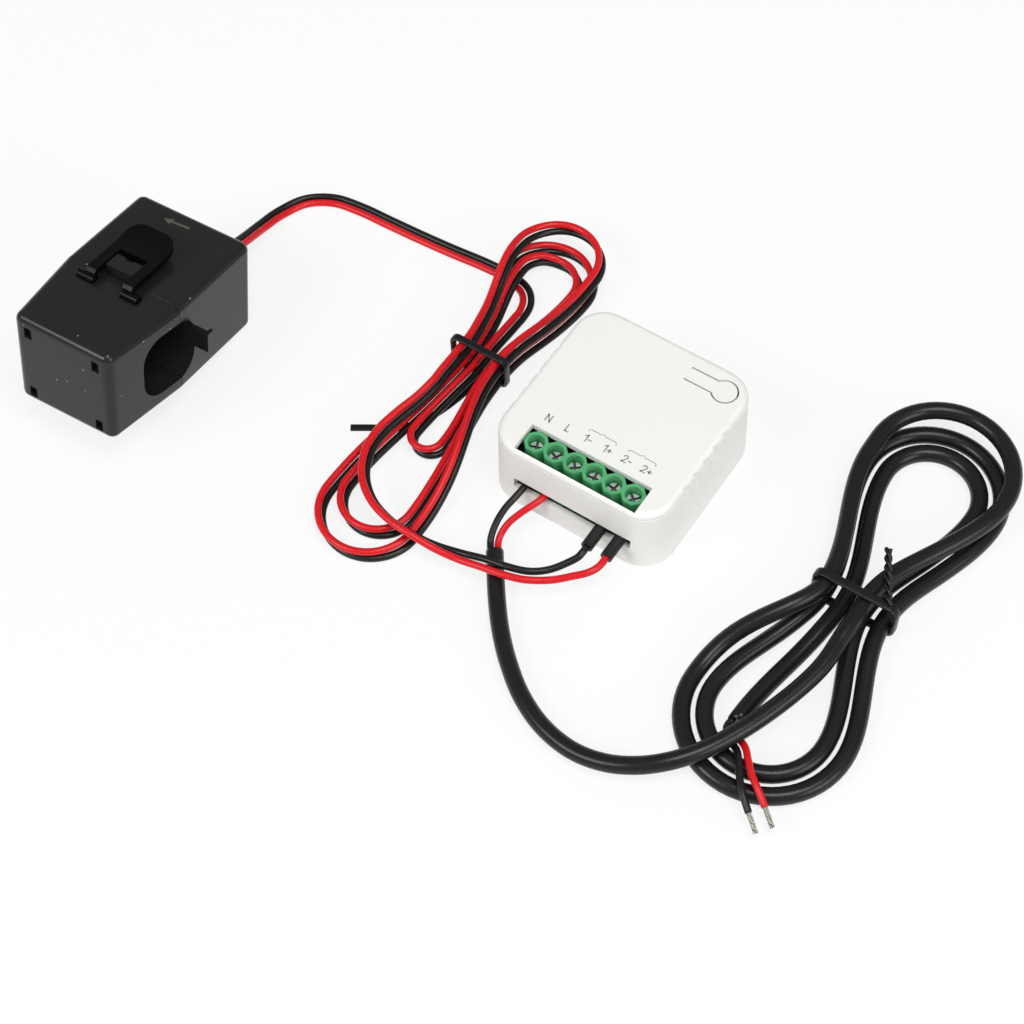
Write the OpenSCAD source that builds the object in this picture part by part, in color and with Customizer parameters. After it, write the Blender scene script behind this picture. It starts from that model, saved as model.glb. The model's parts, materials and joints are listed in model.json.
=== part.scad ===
// Smart energy monitor: a flush mounted power meter module with a split core current clamp.
// Millimetres, +Z up. The origin is the centre of the module's underside and the terminals face -Y.

/* [Module housing] */
// Width of the housing along the terminal row
module_w = 45; // [43:0.5:60]
// Depth of the housing from the wire side to the back
module_d = 45; // [43:0.5:60]
// Height of the housing
module_h = 20; // [19.5:0.5:26]
// Plan radius of the housing's corners
corner_r = 8; // [6.5:0.5:10]
// How far each side leans in from the base to the top
side_draft = 0.5; // [0.2:0.1:0.8]
// Fillet along the top edge
top_fillet = 1.5; // [0.8:0.1:2]
// Wall thickness of the top cover
cover_wall = 1.6; // [1.2:0.1:2]
// Thickness of the bottom cover's floor
floor_t = 1.8; // [1.2:0.1:2]
// Number of grip notches down each side
grip_count = 5; // [3:1:7]
// Spacing of the grip notches
grip_pitch = 4.2; // [3.5:0.1:5]
// Depth of a grip notch
grip_depth = 0.7; // [0.4:0.1:0.9]
// Height of the wire slot in the front wall
slot_h = 3.2; // [3:0.1:4]
// Height of the middle of the wire slot above the base
wire_z = 7.7; // [7.4:0.1:8.5]

/* [Terminals] */
// Spacing of the terminals
terminal_pitch = 5; // [4.9:0.1:5.2]
// Sideways offset of the terminal row from the housing's middle
terminal_x = 0.6; // [0:0.1:1]
// Distance of the screws from the front face
screw_setback = 5.6; // [5.4:0.1:6.4]
// Width of an octagonal screw funnel
funnel_w = 5.2; // [5.1:0.1:5.4]
// Bore of a screw funnel
well_d = 3.8; // [3.6:0.1:4]
// Diameter of a screw's head
screw_head_d = 3.4; // [3:0.1:3.5]
// Diameter of a screw's shank
screw_shank_d = 2; // [1.6:0.1:2.2]
// Outside width of a clamping cage
cage_w = 3.6; // [3.2:0.1:3.8]
// Downward travel of a cage when its screw is backed out
cage_travel = 1.8; // [1:0.1:1.9]

/* [Button] */
// Diameter of the round end of the flexure button
button_d = 5.6; // [4.5:0.1:6]
// Width of the flexure tongue
tongue_w = 3.2; // [2.4:0.1:3.6]
// Length of the tongue from its root to the button's middle
tongue_len = 9; // [7:0.5:11]
// Width of the slit around the tongue
button_slit = 0.4; // [0.3:0.05:0.6]
// Distance of the button's middle from the side walls
button_inset = 6.4; // [6:0.1:8]

/* [Current clamp] */
// Width of the clamp across its aperture
clamp_w = 31.2; // [28:0.2:36]
// Width of the jaw at its front end
jaw_front_w = 26.6; // [23:0.2:30]
// Height of the clamp's case
clamp_h = 25.6; // [25:0.2:28]
// Length of the fixed half behind the parting line
rear_len = 27.6; // [26:0.2:32]
// Length of the jaw in front of the parting line
jaw_len = 22.4; // [22:0.2:26]
// Rounding of the case's edges
case_r = 2.2; // [1:0.1:2.4]
// Width and height of the rounded square aperture
aperture = 17; // [15:0.2:17.4]
// Corner radius of the aperture
aperture_r = 6; // [4:0.5:7]
// How far the aperture reaches behind the parting line
aperture_back = 5; // [4:0.2:6]
// Height of the aperture's floor above the clamp's underside
aperture_z = 4.2; // [4:0.1:4.6]
// Width of the magnetic core
core_w = 14; // [10:0.5:16]
// Thickness of the core's limbs
limb_t = 2.2; // [1.6:0.1:2.4]
// Radius of the hinge barrels under the clamp
barrel_r = 2.8; // [2.4:0.1:3.2]
// Diameter of the hinge pin
pin_d = 2.4; // [1.8:0.1:2.8]
// Width of the latch
latch_w = 12.6; // [11:0.2:15]
// Length of the latch behind the parting line
latch_back = 14.4; // [13:0.2:16]
// Width of a latch leg
latch_leg_w = 2.5; // [2:0.1:3]
// Thickness of the latch
latch_t = 1.2; // [1:0.1:1.6]

/* [Leads] */
// Diameter of one core of the twin sensor lead
sensor_core_d = 1.7; // [1.4:0.1:1.8]
// Diameter of the power lead's jacket
jacket_d = 4; // [3.4:0.1:4.2]
// Diameter of a power lead core
power_core_d = 1.6; // [1.2:0.1:1.8]
// Diameter of a bare wire end
bare_d = 1.2; // [0.8:0.1:1.2]
// Diameter of the insulating sleeves at the terminals
sleeve_d = 2.8; // [2.4:0.1:2.8]
// Thickness of the wire ties
tie_t = 0.9; // [0.6:0.1:1]

/* [Hidden] */

$fn = 48;
cut = 0.5;
fit = 0.2;
touch = 0.03;

plastic_white = [0.93, 0.93, 0.91];
terminal_green = [0.22, 0.55, 0.33];
board_green = [0.1, 0.35, 0.2];
case_black = [0.09, 0.09, 0.09];
wire_black = [0.12, 0.12, 0.12];
wire_red = [0.85, 0.1, 0.12];
nickel = [0.75, 0.75, 0.73];
ferrite = [0.25, 0.25, 0.27];
copper = [0.75, 0.42, 0.22];

// Housing interior and the stack of parts inside it
cavity_w = module_w - 2 * (cover_wall + side_draft);
cavity_d = module_d - 2 * (cover_wall + side_draft);
cavity_r = corner_r - cover_wall - side_draft;
ceiling_z = module_h - cover_wall;
standoff_h = 0.8;
board_t = 1.4;
board_z = floor_t + standoff_h;
board_top = board_z + board_t;
board_gap = 0.3;
board_left = -cavity_w / 2 + board_gap;
board_rear = cavity_d / 2 - board_gap;
capacitor_d = 8;
capacitor_h = 11.5;
varistor_d = 7;
converter_h = 10;
front_y = -module_d / 2;
grip_y = -0.8;
grip_len = 2.4;
standoff_d = 4;
standoff_inset = 4;

// Terminal row: six axes, with the block, its window and the wire slot built around them
screw_y = front_y + screw_setback;
terminal_xs = [for (i = [0:5]) terminal_x + (i - 2.5) * terminal_pitch];
row_len = 6 * terminal_pitch + 0.4;
block_front = -cavity_d / 2 + board_gap;
block_back = screw_y + funnel_w / 2 + 0.1;
block_shoulder_z = 13.6;
funnel_top = module_h - 0.9;
window_gap = 0.25;
window_front = front_y + 1.3;
slot_len = row_len;
pocket_w = cage_w + fit;
ledge_t = 1.3;
head_z = block_shoulder_z + ledge_t;
head_t = 2;
contact_t = 1;
contact_w = 2.2;
contact_z = wire_z + bare_d / 2 + touch;
bar_top = wire_z - bare_d / 2 - touch;
bar_t = 1;
cage_side_t = 0.5;
cage_top_t = 1;
cage_top_z = contact_z + contact_t + cage_travel + fit;
shank_end = contact_z + contact_t + fit;
tail_t = 0.7;
tip_end_y = screw_y + 1.4;
entry_y = screw_y - pocket_w / 2 - 0.2;

// Parts on the board, between the terminals and its rear edge
part_gap = 1.5;
capacitor_x = board_left + 6.1;
capacitor_y = board_rear - 7.1;
converter_x = board_left + 2.1;
converter_y = screw_y + 15.4;
converter_w = 11;
converter_d = capacitor_y - capacitor_d / 2 - part_gap - converter_y;
radio_x = -4;
radio_w = 11;
radio_d = 14;
radio_rear = 2.1;
radio_y = board_rear - radio_rear - radio_d;
can_inset = 0.6;
can_d = 9;

// Flexure button over a tact switch
button_x = module_w / 2 - button_inset;
button_y = module_d / 2 - button_inset;
root_x = button_x - tongue_len;
hinge_z = module_h - cover_wall / 2;
root_gap = 0.1;
post_d = 2.4;
switch_w = 4.4;
switch_h = 2.6;
plunger_d = 2.2;
plunger_h = 1.4;
plunger_top = board_top + switch_h + plunger_h;
press_gap = 0.3;
switch_x = button_x - 0.9;
switch_y = button_y - 0.9;

// Clamp: local origin at the parting line's underside, +Y to the rear, lying on its rear edge and hinge
clamp_at = [-109, -42.5];
clamp_turn = 3;
clamp_pitch = 12.4;
edge_drop = case_r * (sin(clamp_pitch) + cos(clamp_pitch) - 1);
clamp_z = rear_len * sin(clamp_pitch) - edge_drop + touch;
barrel_z = -(clamp_z - barrel_r - touch) / cos(clamp_pitch);
parting_gap = 0.1;
shell_t = 1.6;
aperture_front = aperture - aperture_back;
liner_t = 0.8;
limb_top_z = aperture_z + aperture + liner_t;
limb_low_z = aperture_z - liner_t - limb_t;
roof_t = 1.4;
case_h = max(clamp_h, limb_top_z + limb_t + roof_t);
coil_room = 8;
bar_y = aperture_back + coil_room;
core_bar = 5;
bar_gap = 1;
jaw_bar_y = -aperture_front - bar_gap - core_bar;
carrier_t = 1.2;
carrier_gap = 1.6;
front_len = max(jaw_len, -jaw_bar_y + carrier_gap + carrier_t + shell_t);
barrel_len = 6;
barrel_gap = 0.3;
arm_w = barrel_len;
snap_w = 2;
snap_h = 3;
snap_span = 18.4;
snap_low = 3.4;
snap_high = case_h - 4.2;
snap_depth = 1.2;
lead_x = 4;
lead_z = 12;
lead_hole = [4.2, 2.4];
latch_x = -1.1;
catch_w = latch_w - 2 * latch_leg_w - 2 * fit;
catch_back = 5.4;
catch_front = 0.2;
catch_h = 2.4;
catch_slope = 1;
catch_seat = 0.5;
notch_d = 3.4;
foot_r = 1.1;
foot_y = -3.6;
foot_z = case_h + 0.3;
foot_out = 1.9;
tab_gap = 0.4;
tab_lift = 1.6;
tab_rise = 1.5;
tab_r = 3.6;
tab_steps = 6;
tie_tab = [3.8, 1.2, 5.4];
tie_tab_z = aperture_z + 6;
tie_hook = [0.9, 2.2];

// Sensor lead: a red and a black core side by side, wound into a waisted hank
sensor_hank_at = [-40, 2.5];
pair_side = 1;
pair_up = sensor_core_d + 0.25;
sensor_pitch = 2.4;
sensor_layer = 4.4;
sensor_low = sensor_core_d / 2 + pair_up / 2 + touch;
sensor_bends = [[26.5, 3.2, 4.6], [36, 6.4, 7.9], [50.5, 7.9, 9.3], [40, 9.3, 10.8], [57, 10.8, 12.2],
  [43.5, 9.3, 10.8]];
sensor_first_v = 1.2;
sensor_first_u = 14;
sensor_last_u = -10;
sensor_last_v = 4.8;

// Power lead: a round jacket wound into a waisted hank, from its bare end to the module
power_hank_at = [62, -7];
power_pitch = 4.8;
power_layer = 4.9;
power_low = jacket_d / 2 + touch;
power_bends = [[46, 9.8, 12.2], [45.5, 12.2, 14.6], [51, 14.6, 17], [50.5, 17, 19.4], [55, 14.6, 17]];
power_first_v = 1.2;
power_first_u = -37;
power_first_flare = 6.2;
power_last_u = -12;
power_last_v = 3.5;

waist_lift = tie_t + 0.1;
waist_half = 20;
strip_w = 1.8;
strip_t = 0.45;
strip_lift = strip_t + 0.1;
strip_u = -24;
strip_half = 24;
strip_route = [[-40, 2], [-41, -6], [-43.4, -14], [-47.6, -20.4], [-53.6, -24.2], [-57.2, -26.5]];
cross_u = 26.5;
cross_half = 15;
cross_lift = sensor_core_d + 0.8;

// Routes of the free stretches, chosen by hand: middle line of the twin lead, then single cores
clamp_route = [
  [-106.9, -6, 9.9], [-107.7, 1, 6.6], [-108.6, 8, 3.4], [-108.4, 15, 1.4], [-105.6, 21.6, 0.9],
  [-100, 25.5, 0.9], [-93, 26.8, 0.9], [-84, 27.2, 0.9], [-75, 27.6, 0.9], [-66, 28.2, 0.9],
  [-57, 29, 0.9], [-50, 29, 0.9], [-45, 27.6, 1], [-42.2, 24.4, 1.6], [-41.2, 20.5, 1.97],
  [-41.2, 18.5, 2.08], [-41.2, 16.5, 2.16]];
module_route = [
  [-44.8, -7.5, 7.31], [-44.8, -9.5, 7.25], [-45.6, -15, 6.85], [-47, -21, 6.75], [-47.8, -27, 6.75],
  [-47, -33, 6.7], [-44, -38.6, 6.5], [-39, -42.6, 6.3], [-33, -44.6, 6.2], [-27, -45, 6],
  [-21, -44.2, 4.6], [-15, -43, 4.2], [-9.5, -42.2, 5.3], [-4.5, -41.6, 6], [0.5, -40, 6],
  [4.6, -37.2, 6], [8, -33.8, 6.8], [10, -31.4, 7.5], [10.6, -29.6, 7.7], [10.6, -27.8, 7.7]];
jacket_route = [
  [-10, -37, 2.4], [-7, -41.2, 2.3], [-3, -46.6, 2.05], [2, -52.6, 2.05], [8, -58.4, 2.05],
  [15, -63.6, 2.05], [22.5, -67, 2.1], [30.5, -68.4, 2.6], [38, -67.6, 3.8], [44.5, -65, 5.3],
  [50, -60.8, 6.4], [54.5, -55, 6.7], [58.2, -48, 6.7], [61.4, -40, 6.7], [63.9, -32, 6.85],
  [65.2, -26, 7.1], [65.5, -22.5, 7.3], [65.5, -19, 7.45]];
black_core_route = [
  [-12.2, -25, 7.3], [-12.9, -28.5, 6.2], [-13, -32, 4.6], [-12.5, -34.7, 3.1], [-11.9, -35.9, 2.5],
  [-10.7, -37.5, 2.4]];
red_core_route = [
  [-7.6, -24.5, 7.4], [-9.2, -27.5, 6.4], [-10.6, -30.5, 4.9], [-11, -33, 3.3], [-10.5, -34.9, 2.5],
  [-9.3, -36.5, 2.4]];
tail_route = [
  [55.8, -44, 2.03], [55.66, -45.7, 2.06], [57.6, -47.9, 3], [60.4, -49.9, 4.6], [62.4, -52.4, 5.4],
  [64.5, -55.1, 5.6], [66.9, -57.4, 5.4], [70, -59.8, 4.2]];
tail_tip_len = 4.5;

function blend(t) = t <= 0 ? 0 : t >= 1 ? 1 : t * t * (3 - 2 * t);
function bump(t) = abs(t) >= 1 ? 0 : pow(cos(90 * t), 2);
function plateau(t) = min(1, 1.5 * bump(t));
function unit(v) = v / norm(v);
function mix_of(a, b, t) = a + (b - a) * t;

// Direction of a path at point i, from its neighbours
function heading(p, i) = unit(p[min(i + 1, len(p) - 1)] - p[max(i - 1, 0)]);
function right_of(h) = unit(cross(h, [0, 0, 1]));
function above_of(h) = cross(right_of(h), h);

// One tube of triangles swept along a list of points
module tube(p, d, sides) {
  n = len(p);
  ring = [for (i = [0:n - 1]) let (h = heading(p, i), x = right_of(h), y = above_of(h))
    for (k = [0:sides - 1])
      let (a = 360 * (k + 0.5) / sides) p[i] + d / 2 * (cos(a) * x + sin(a) * y)];
  wall = [for (i = [0:n - 2], k = [0:sides - 1])
    let (a = i * sides + k, b = i * sides + (k + 1) % sides)
    each [[a, b, a + sides], [b, b + sides, a + sides]]];
  first = [for (k = [1:sides - 2]) [0, k + 1, k]];
  last = [for (k = [1:sides - 2]) [0, k, k + 1] + (n - 1) * sides * [1, 1, 1]];
  polyhedron(ring, concat(wall, first, last));
}

// Waisted hank. Run k climbs or falls along u at side v; bend k joins it to run k + 1.
// A bend is its reach from the waist, then the half widths where it leaves run k and meets run k + 1.
// Runs spiral outwards in the low layer, the last but one climbs over the run inside it,
// and the last lies in the upper layer and leaves past the waist.
function first_dir(hk) = hk[0];
function bends(hk) = hk[1];
function first_v(hk) = hk[2];
function waist_pitch(hk) = hk[3];
function layer_h(hk) = hk[4];
function first_u(hk) = hk[5];
function last_u(hk) = hk[6];
function last_v(hk) = hk[7];
function first_flare(hk) = hk[8];
function last_run(hk) = len(bends(hk));
function run_dir(hk, k) = k % 2 == 0 ? first_dir(hk) : -first_dir(hk);
function run_side(k) = k % 2 == 0 ? -1 : 1;
function bend_r(hk, k) = (bends(hk)[k][1] + bends(hk)[k][2]) / 2;
function bend_u(hk, k) = run_dir(hk, k) * (bends(hk)[k][0] - bend_r(hk, k));
function waist_v(hk, k) = first_v(hk) + waist_pitch(hk) * k / 2;
function run_from(hk, k) = k == 0 ? first_u(hk) : bend_u(hk, k - 1);
function run_to(hk, k) = k == last_run(hk) ? last_u(hk) : bend_u(hk, k);
function before_waist(hk, k, u) = u * run_dir(hk, k) < 0;
function end_v(hk, k, u) = before_waist(hk, k, u) ? bends(hk)[k - 1][2] : bends(hk)[k][1];
function end_u(hk, k, u) = before_waist(hk, k, u) ? run_from(hk, k) : run_to(hk, k);
function lateral(hk, k, u) = mix_of(waist_v(hk, k), end_v(hk, k, u), blend(u / end_u(hk, k, u)));

function first_point(hk, u) =
  [u, before_waist(hk, 0, u) ? -mix_of(waist_v(hk, 0), first_flare(hk), blend(u / first_u(hk)))
    : -lateral(hk, 0, u), 0];
function climb_point(hk, k, u) =
  let (out = before_waist(hk, k, u) ? blend(u / run_from(hk, k)) : 0,
       spread = mix_of(waist_pitch(hk), bends(hk)[k - 1][2] - bends(hk)[k - 3][2], out))
  let (swell = 1 + 0.16 * sin(180 * out))
  [u, run_side(k) * (lateral(hk, k - 2, u) + swell * spread * sin(90 * out)),
   swell * layer_h(hk) * cos(90 * out)];
function last_point(hk, k, u) =
  [u, run_side(k) * mix_of(last_v(hk), bends(hk)[k - 1][2],
    before_waist(hk, k, u) ? blend(u / run_from(hk, k)) : 0), layer_h(hk)];
function run_point(hk, k, t) =
  let (u = mix_of(run_from(hk, k), run_to(hk, k), t))
  k == 0 ? first_point(hk, u)
  : k == last_run(hk) ? last_point(hk, k, u)
  : k == last_run(hk) - 1 ? climb_point(hk, k, u)
  : [u, run_side(k) * lateral(hk, k, u), 0];

function bend_point(hk, k, a) =
  let (r = bend_r(hk, k), shift = (bends(hk)[k][1] - bends(hk)[k][2]) / 2)
  [bend_u(hk, k) + run_dir(hk, k) * r * sin(a), run_side(k) * (shift + r * cos(a)),
   k == last_run(hk) - 1 ? layer_h(hk) : 0];

run_rings = 8;
bend_rings = 6;
function hank_line(hk) = [for (k = [0:last_run(hk)]) each concat(
  [for (i = [0:run_rings - 1]) run_point(hk, k, i / run_rings)],
  k == last_run(hk) ? [run_point(hk, k, 1)]
    : [for (i = [0:bend_rings - 1]) bend_point(hk, k, 180 * i / bend_rings)])];

// Hank values: first direction, bends, first v, waist pitch, layer height, first u, last u, last v,
// and the v that the first run starts from
sensor_hank = [-1, sensor_bends, sensor_first_v, sensor_pitch, sensor_layer,
  sensor_first_u, sensor_last_u, sensor_last_v, sensor_first_v];
power_hank_values = [1, power_bends, power_first_v, power_pitch, power_layer,
  power_first_u, power_last_u, power_last_v, power_first_flare];

sensor_line = [for (q = hank_line(sensor_hank))
  [sensor_hank_at[0] + q[1], sensor_hank_at[1] + q[0],
   sensor_low + q[2] + waist_lift * plateau(q[0] / waist_half)
   + strip_lift * plateau((q[0] - strip_u) / strip_half)
   + cross_lift * bump((q[0] - cross_u) / cross_half) * blend(-q[1] / 5 - 0.25)]];
sensor_red_line = [for (p = sensor_line) p + [-pair_side, 0, pair_up] / 2];
sensor_black_line = [for (p = sensor_line) p - [-pair_side, 0, pair_up] / 2];
power_line = [for (q = hank_line(power_hank_values))
  [power_hank_at[0] + q[1], power_hank_at[1] + q[0],
   power_low + q[2] + waist_lift * plateau(q[0] / waist_half)]];

// Least gap of a tube to itself, measured on points along its chords
gap_steps = 4;
gap_skip = 14;
function chord_points(p) =
  [for (i = [0:len(p) - 2], s = [0:gap_steps - 1]) mix_of(p[i], p[i + 1], s / gap_steps)];
function least_gap(p, d) = let (c = chord_points(p), n = len(c))
  min([for (i = [0:n - gap_skip - 1], j = [i + gap_skip:n - 1]) norm(c[i] - c[j])]) - d;
function least_between(a, b, d) = let (c = chord_points(a), e = chord_points(b))
  min([for (p = c, q = e) norm(p - q)]) - d;

// The two cores of the twin lead beside its middle line, rolled from flat to the hank's stance
pair_roll = atan2(pair_up, pair_side);
pair_half = norm([pair_side, pair_up]) / 2;
flat_half = pair_up / 2;
function pair_line(route, side, rolls, halves) = [for (i = [0:len(route) - 1])
  let (t = i / (len(route) - 1), h = heading(route, i),
       roll = mix_of(rolls[0], rolls[1], blend((t - rolls[2]) / rolls[3])),
       half = mix_of(halves[0], halves[1], blend((t - halves[2]) / halves[3])))
  route[i] + side * half * (cos(roll) * right_of([h[0], h[1], 0]) + [0, 0, sin(roll)])];
clamp_rolls = [0, pair_roll, 0.78, 0.12];
case_halves = [flat_half, pair_half, 0.78, 0.12];
module_rolls = [pair_roll, 0, 0.45, 0.2];
module_halves = [pair_half, terminal_pitch / 2, 0.74, 0.2];
clamp_exit = clamp_point([lead_x, rear_len - shell_t, lead_z]);
clamp_way = clamp_point([lead_x, rear_len + 2, lead_z]);
red_clamp_line = pair_line(concat([clamp_exit, clamp_way], clamp_route), 1, clamp_rolls, case_halves);
black_clamp_line = pair_line(concat([clamp_exit, clamp_way], clamp_route), -1, clamp_rolls, case_halves);
red_module_line = pair_line(module_route, 1, module_rolls, module_halves);
black_module_line = pair_line(module_route, -1, module_rolls, module_halves);

function power_core_line(terminal, route) = concat(
  [[terminal_xs[terminal], entry_y, wire_z], [terminal_xs[terminal], front_y, wire_z]], route);
tail_half = 1.8;
tail_halves = [0.95, tail_half, 0.5, 0.5];
black_tail_line = pair_line(tail_route, 1, [0, 0, 0, 1], tail_halves);
red_tail_line = pair_line(tail_route, -1, [0, 0, 0, 1], tail_halves);

// A local point of the clamp in the part's frame, and the clamp's own placing
function clamp_point(q) =
  let (y = q[1] * cos(clamp_pitch) + q[2] * sin(clamp_pitch),
       z = q[2] * cos(clamp_pitch) - q[1] * sin(clamp_pitch))
  [clamp_at[0] + q[0] * cos(clamp_turn) - y * sin(clamp_turn),
   clamp_at[1] + q[0] * sin(clamp_turn) + y * cos(clamp_turn), clamp_z + z];
module in_clamp() {
  translate([clamp_at[0], clamp_at[1], clamp_z]) rotate([-clamp_pitch, 0, clamp_turn]) children();
}

// Rounded rectangle in plan, with its middle at the origin
module rounded_plan(w, d, r) {
  square([w - 2 * r, d], center = true);
  square([w, d - 2 * r], center = true);
  for (x = [-1, 1], y = [-1, 1]) translate([x * (w / 2 - r), y * (d / 2 - r)]) circle(r);
}

// Solid with a rounded rectangular plan whose side follows a profile drawn with its wall at x = 0
module wall_sweep(w, d, r) {
  for (x = [0, 1], y = [0, 1]) mirror([x, 0]) mirror([0, y])
    translate([w / 2 - r, d / 2 - r]) rotate_extrude(angle = 90) translate([r, 0]) children();
  for (x = [0, 1]) mirror([x, 0])
    translate([w / 2, d / 2 - r]) rotate([90, 0, 0]) linear_extrude(d - 2 * r) children();
  for (y = [0, 1]) mirror([0, y])
    translate([r - w / 2, d / 2]) rotate([90, 0, 90]) linear_extrude(w - 2 * r) children();
}

// Side of the housing in section, from the corner's middle out to the leaning wall
module side_profile() {
  lean = atan(side_draft / module_h);
  intersection() {
    translate([-corner_r, 0]) square([corner_r, module_h]);
    union() {
      rotate(lean) translate([-2 * corner_r, -module_h])
        square([2 * corner_r, 2 * module_h - top_fillet - side_draft]);
      translate([-2 * corner_r, 0]) square([2 * corner_r - side_draft - top_fillet, module_h]);
      translate([-side_draft - top_fillet, module_h - top_fillet]) circle(top_fillet);
    }
  }
}

module housing_body() {
  wall_sweep(module_w, module_d, corner_r) side_profile();
  translate([corner_r - module_w / 2, corner_r - module_d / 2, 0])
    cube([module_w - 2 * corner_r, module_d - 2 * corner_r, module_h]);
}

// Keyhole outline of the flexure: a tongue with a round end, in plan
module keyhole(grow) {
  translate([button_x, button_y]) circle(button_d / 2 + grow);
  translate([root_x, button_y - tongue_w / 2 - grow]) square([tongue_len, tongue_w + 2 * grow]);
}

module grip_notches() {
  for (s = [0, 1]) mirror([s, 0]) for (i = [0:grip_count - 1])
    translate([module_w / 2 - side_draft, grip_y + (i - (grip_count - 1) / 2) * grip_pitch, -cut])
      linear_extrude(module_h + 2 * cut)
        polygon([[-grip_depth, -grip_len / 2], [2, -grip_len / 2], [2, grip_len / 2], [0, grip_len / 2]]);
}

module top_cover() {
  color(plastic_white) difference() {
    housing_body();
    translate([0, 0, -cut]) linear_extrude(ceiling_z + cut) rounded_plan(cavity_w, cavity_d, cavity_r);
    translate([terminal_x - row_len / 2 - window_gap, window_front, ceiling_z - cut])
      cube([row_len + 2 * window_gap, block_back + window_gap - window_front, cover_wall + 2 * cut]);
    translate([terminal_x - slot_len / 2, front_y - cut, wire_z - slot_h / 2])
      cube([slot_len, cover_wall + side_draft + 2 * cut, slot_h]);
    translate([0, 0, ceiling_z - cut]) linear_extrude(cover_wall + 2 * cut) keyhole(button_slit);
    translate([root_x, button_y - tongue_w / 2 - button_slit, hinge_z]) rotate([-90, 0, 0])
      cylinder(r = cover_wall / 2 + root_gap, h = tongue_w + 2 * button_slit);
    grip_notches();
  }
}

module bottom_cover() {
  color(plastic_white) {
    linear_extrude(floor_t) rounded_plan(cavity_w - 2 * fit, cavity_d - 2 * fit, cavity_r - fit);
    for (x = [-1, 1], y = [-1, 1])
      translate([x * (cavity_w / 2 - standoff_inset), y * (cavity_d / 2 - standoff_inset), floor_t])
        cylinder(d = standoff_d, h = standoff_h);
  }
}

module reset_button() {
  color(plastic_white) {
    difference() {
      translate([0, 0, ceiling_z]) linear_extrude(cover_wall) keyhole(0);
      translate([root_x - cut, button_y - tongue_w / 2 - cut, ceiling_z - cut])
        cube([cut, tongue_w + 2 * cut, cover_wall + 2 * cut]);
    }
    translate([root_x, button_y - tongue_w / 2, hinge_z]) rotate([-90, 0, 0])
      cylinder(d = cover_wall, h = tongue_w);
    translate([switch_x, switch_y, plunger_top + press_gap])
      cylinder(d = post_d, h = ceiling_z - plunger_top - press_gap + touch);
  }
}

module main_board() {
  color(board_green) difference() {
    translate([0, 0, board_z]) linear_extrude(board_t)
      rounded_plan(cavity_w - 2 * board_gap, cavity_d - 2 * board_gap, cavity_r - board_gap);
    for (x = terminal_xs) translate([x, block_back + fit + tail_t / 2, board_z - cut])
      cylinder(d = 1.6, h = board_t + 2 * cut);
  }
}

module terminal_block() {
  color(terminal_green) difference() {
    union() {
      translate([terminal_x - row_len / 2, block_front, board_top])
        cube([row_len, block_back - block_front, block_shoulder_z - board_top]);
      for (x = terminal_xs) translate([x, screw_y, block_shoulder_z - ledge_t / 4]) rotate(22.5)
        cylinder(d = funnel_w / cos(22.5), h = funnel_top - block_shoulder_z + ledge_t / 4, $fn = 8);
    }
    for (x = terminal_xs) translate([x, screw_y, 0]) {
      translate([0, 0, head_z]) cylinder(d = well_d, h = module_h);
      translate([0, 0, board_top]) cylinder(d = screw_shank_d + 2 * fit, h = module_h - board_top);
      translate([-pocket_w / 2, -pocket_w / 2, board_top - cut])
        cube([pocket_w, pocket_w, block_shoulder_z - ledge_t / 2 - board_top + cut]);
      translate([-sleeve_d / 2 - fit, -screw_setback, wire_z - slot_h / 2])
        cube([sleeve_d + 2 * fit, screw_setback, slot_h]);
      translate([-contact_w / 2 - fit, 0, contact_z - fit / 2])
        cube([contact_w + 2 * fit, screw_setback, contact_t + fit]);
    }
  }
}

module terminal_contacts() {
  color(nickel) for (x = terminal_xs) translate([x, 0, 0]) {
    translate([-contact_w / 2, screw_y - pocket_w / 2 + fit, contact_z])
      cube([contact_w, block_back + fit + tail_t - screw_y + pocket_w / 2 - fit, contact_t]);
    translate([-tail_t / 2, block_back + fit, board_z - fit])
      cube([tail_t, tail_t, contact_z - board_z + 2 * fit]);
  }
}

module terminal_screw(i) {
  color(nickel) translate([terminal_xs[i], screw_y, 0]) {
    difference() {
      translate([0, 0, head_z + touch]) cylinder(d = screw_head_d, h = head_t);
      for (a = [0, 90]) rotate(a + 20) translate([-screw_head_d / 2, -0.3, head_z + head_t - 0.8])
        cube([screw_head_d, 0.6, 1]);
    }
    translate([0, 0, shank_end]) cylinder(d = screw_shank_d, h = head_z + touch - shank_end + 0.1);
  }
}

module terminal_cage(i) {
  color(nickel) translate([terminal_xs[i] - cage_w / 2, screw_y - cage_w / 2, bar_top - bar_t]) difference() {
    cube([cage_w, cage_w, cage_top_z + cage_top_t - bar_top + bar_t]);
    translate([cage_side_t, -cut, bar_t])
      cube([cage_w - 2 * cage_side_t, cage_w + 2 * cut, cage_top_z - bar_top]);
    translate([cage_w / 2, cage_w / 2, bar_t + cut]) cylinder(d = screw_shank_d + fit, h = module_h);
  }
}

module switch_body() {
  color(case_black) difference() {
    translate([switch_x - switch_w / 2, switch_y - switch_w / 2, board_top])
      cube([switch_w, switch_w, switch_h]);
    translate([switch_x, switch_y, board_top + 1]) cylinder(d = plunger_d + 2 * fit, h = switch_h);
  }
}

module switch_plunger() {
  color(case_black) translate([switch_x, switch_y, board_top + 2])
    cylinder(d = plunger_d, h = plunger_top - board_top - 2);
}

module radio_module() {
  color(nickel) {
    translate([radio_x, radio_y, board_top]) cube([radio_w, radio_d, 1]);
    translate([radio_x + can_inset, radio_y + can_inset, board_top + 1])
      cube([radio_w - 2 * can_inset, can_d, 2.2]);
  }
}

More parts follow.
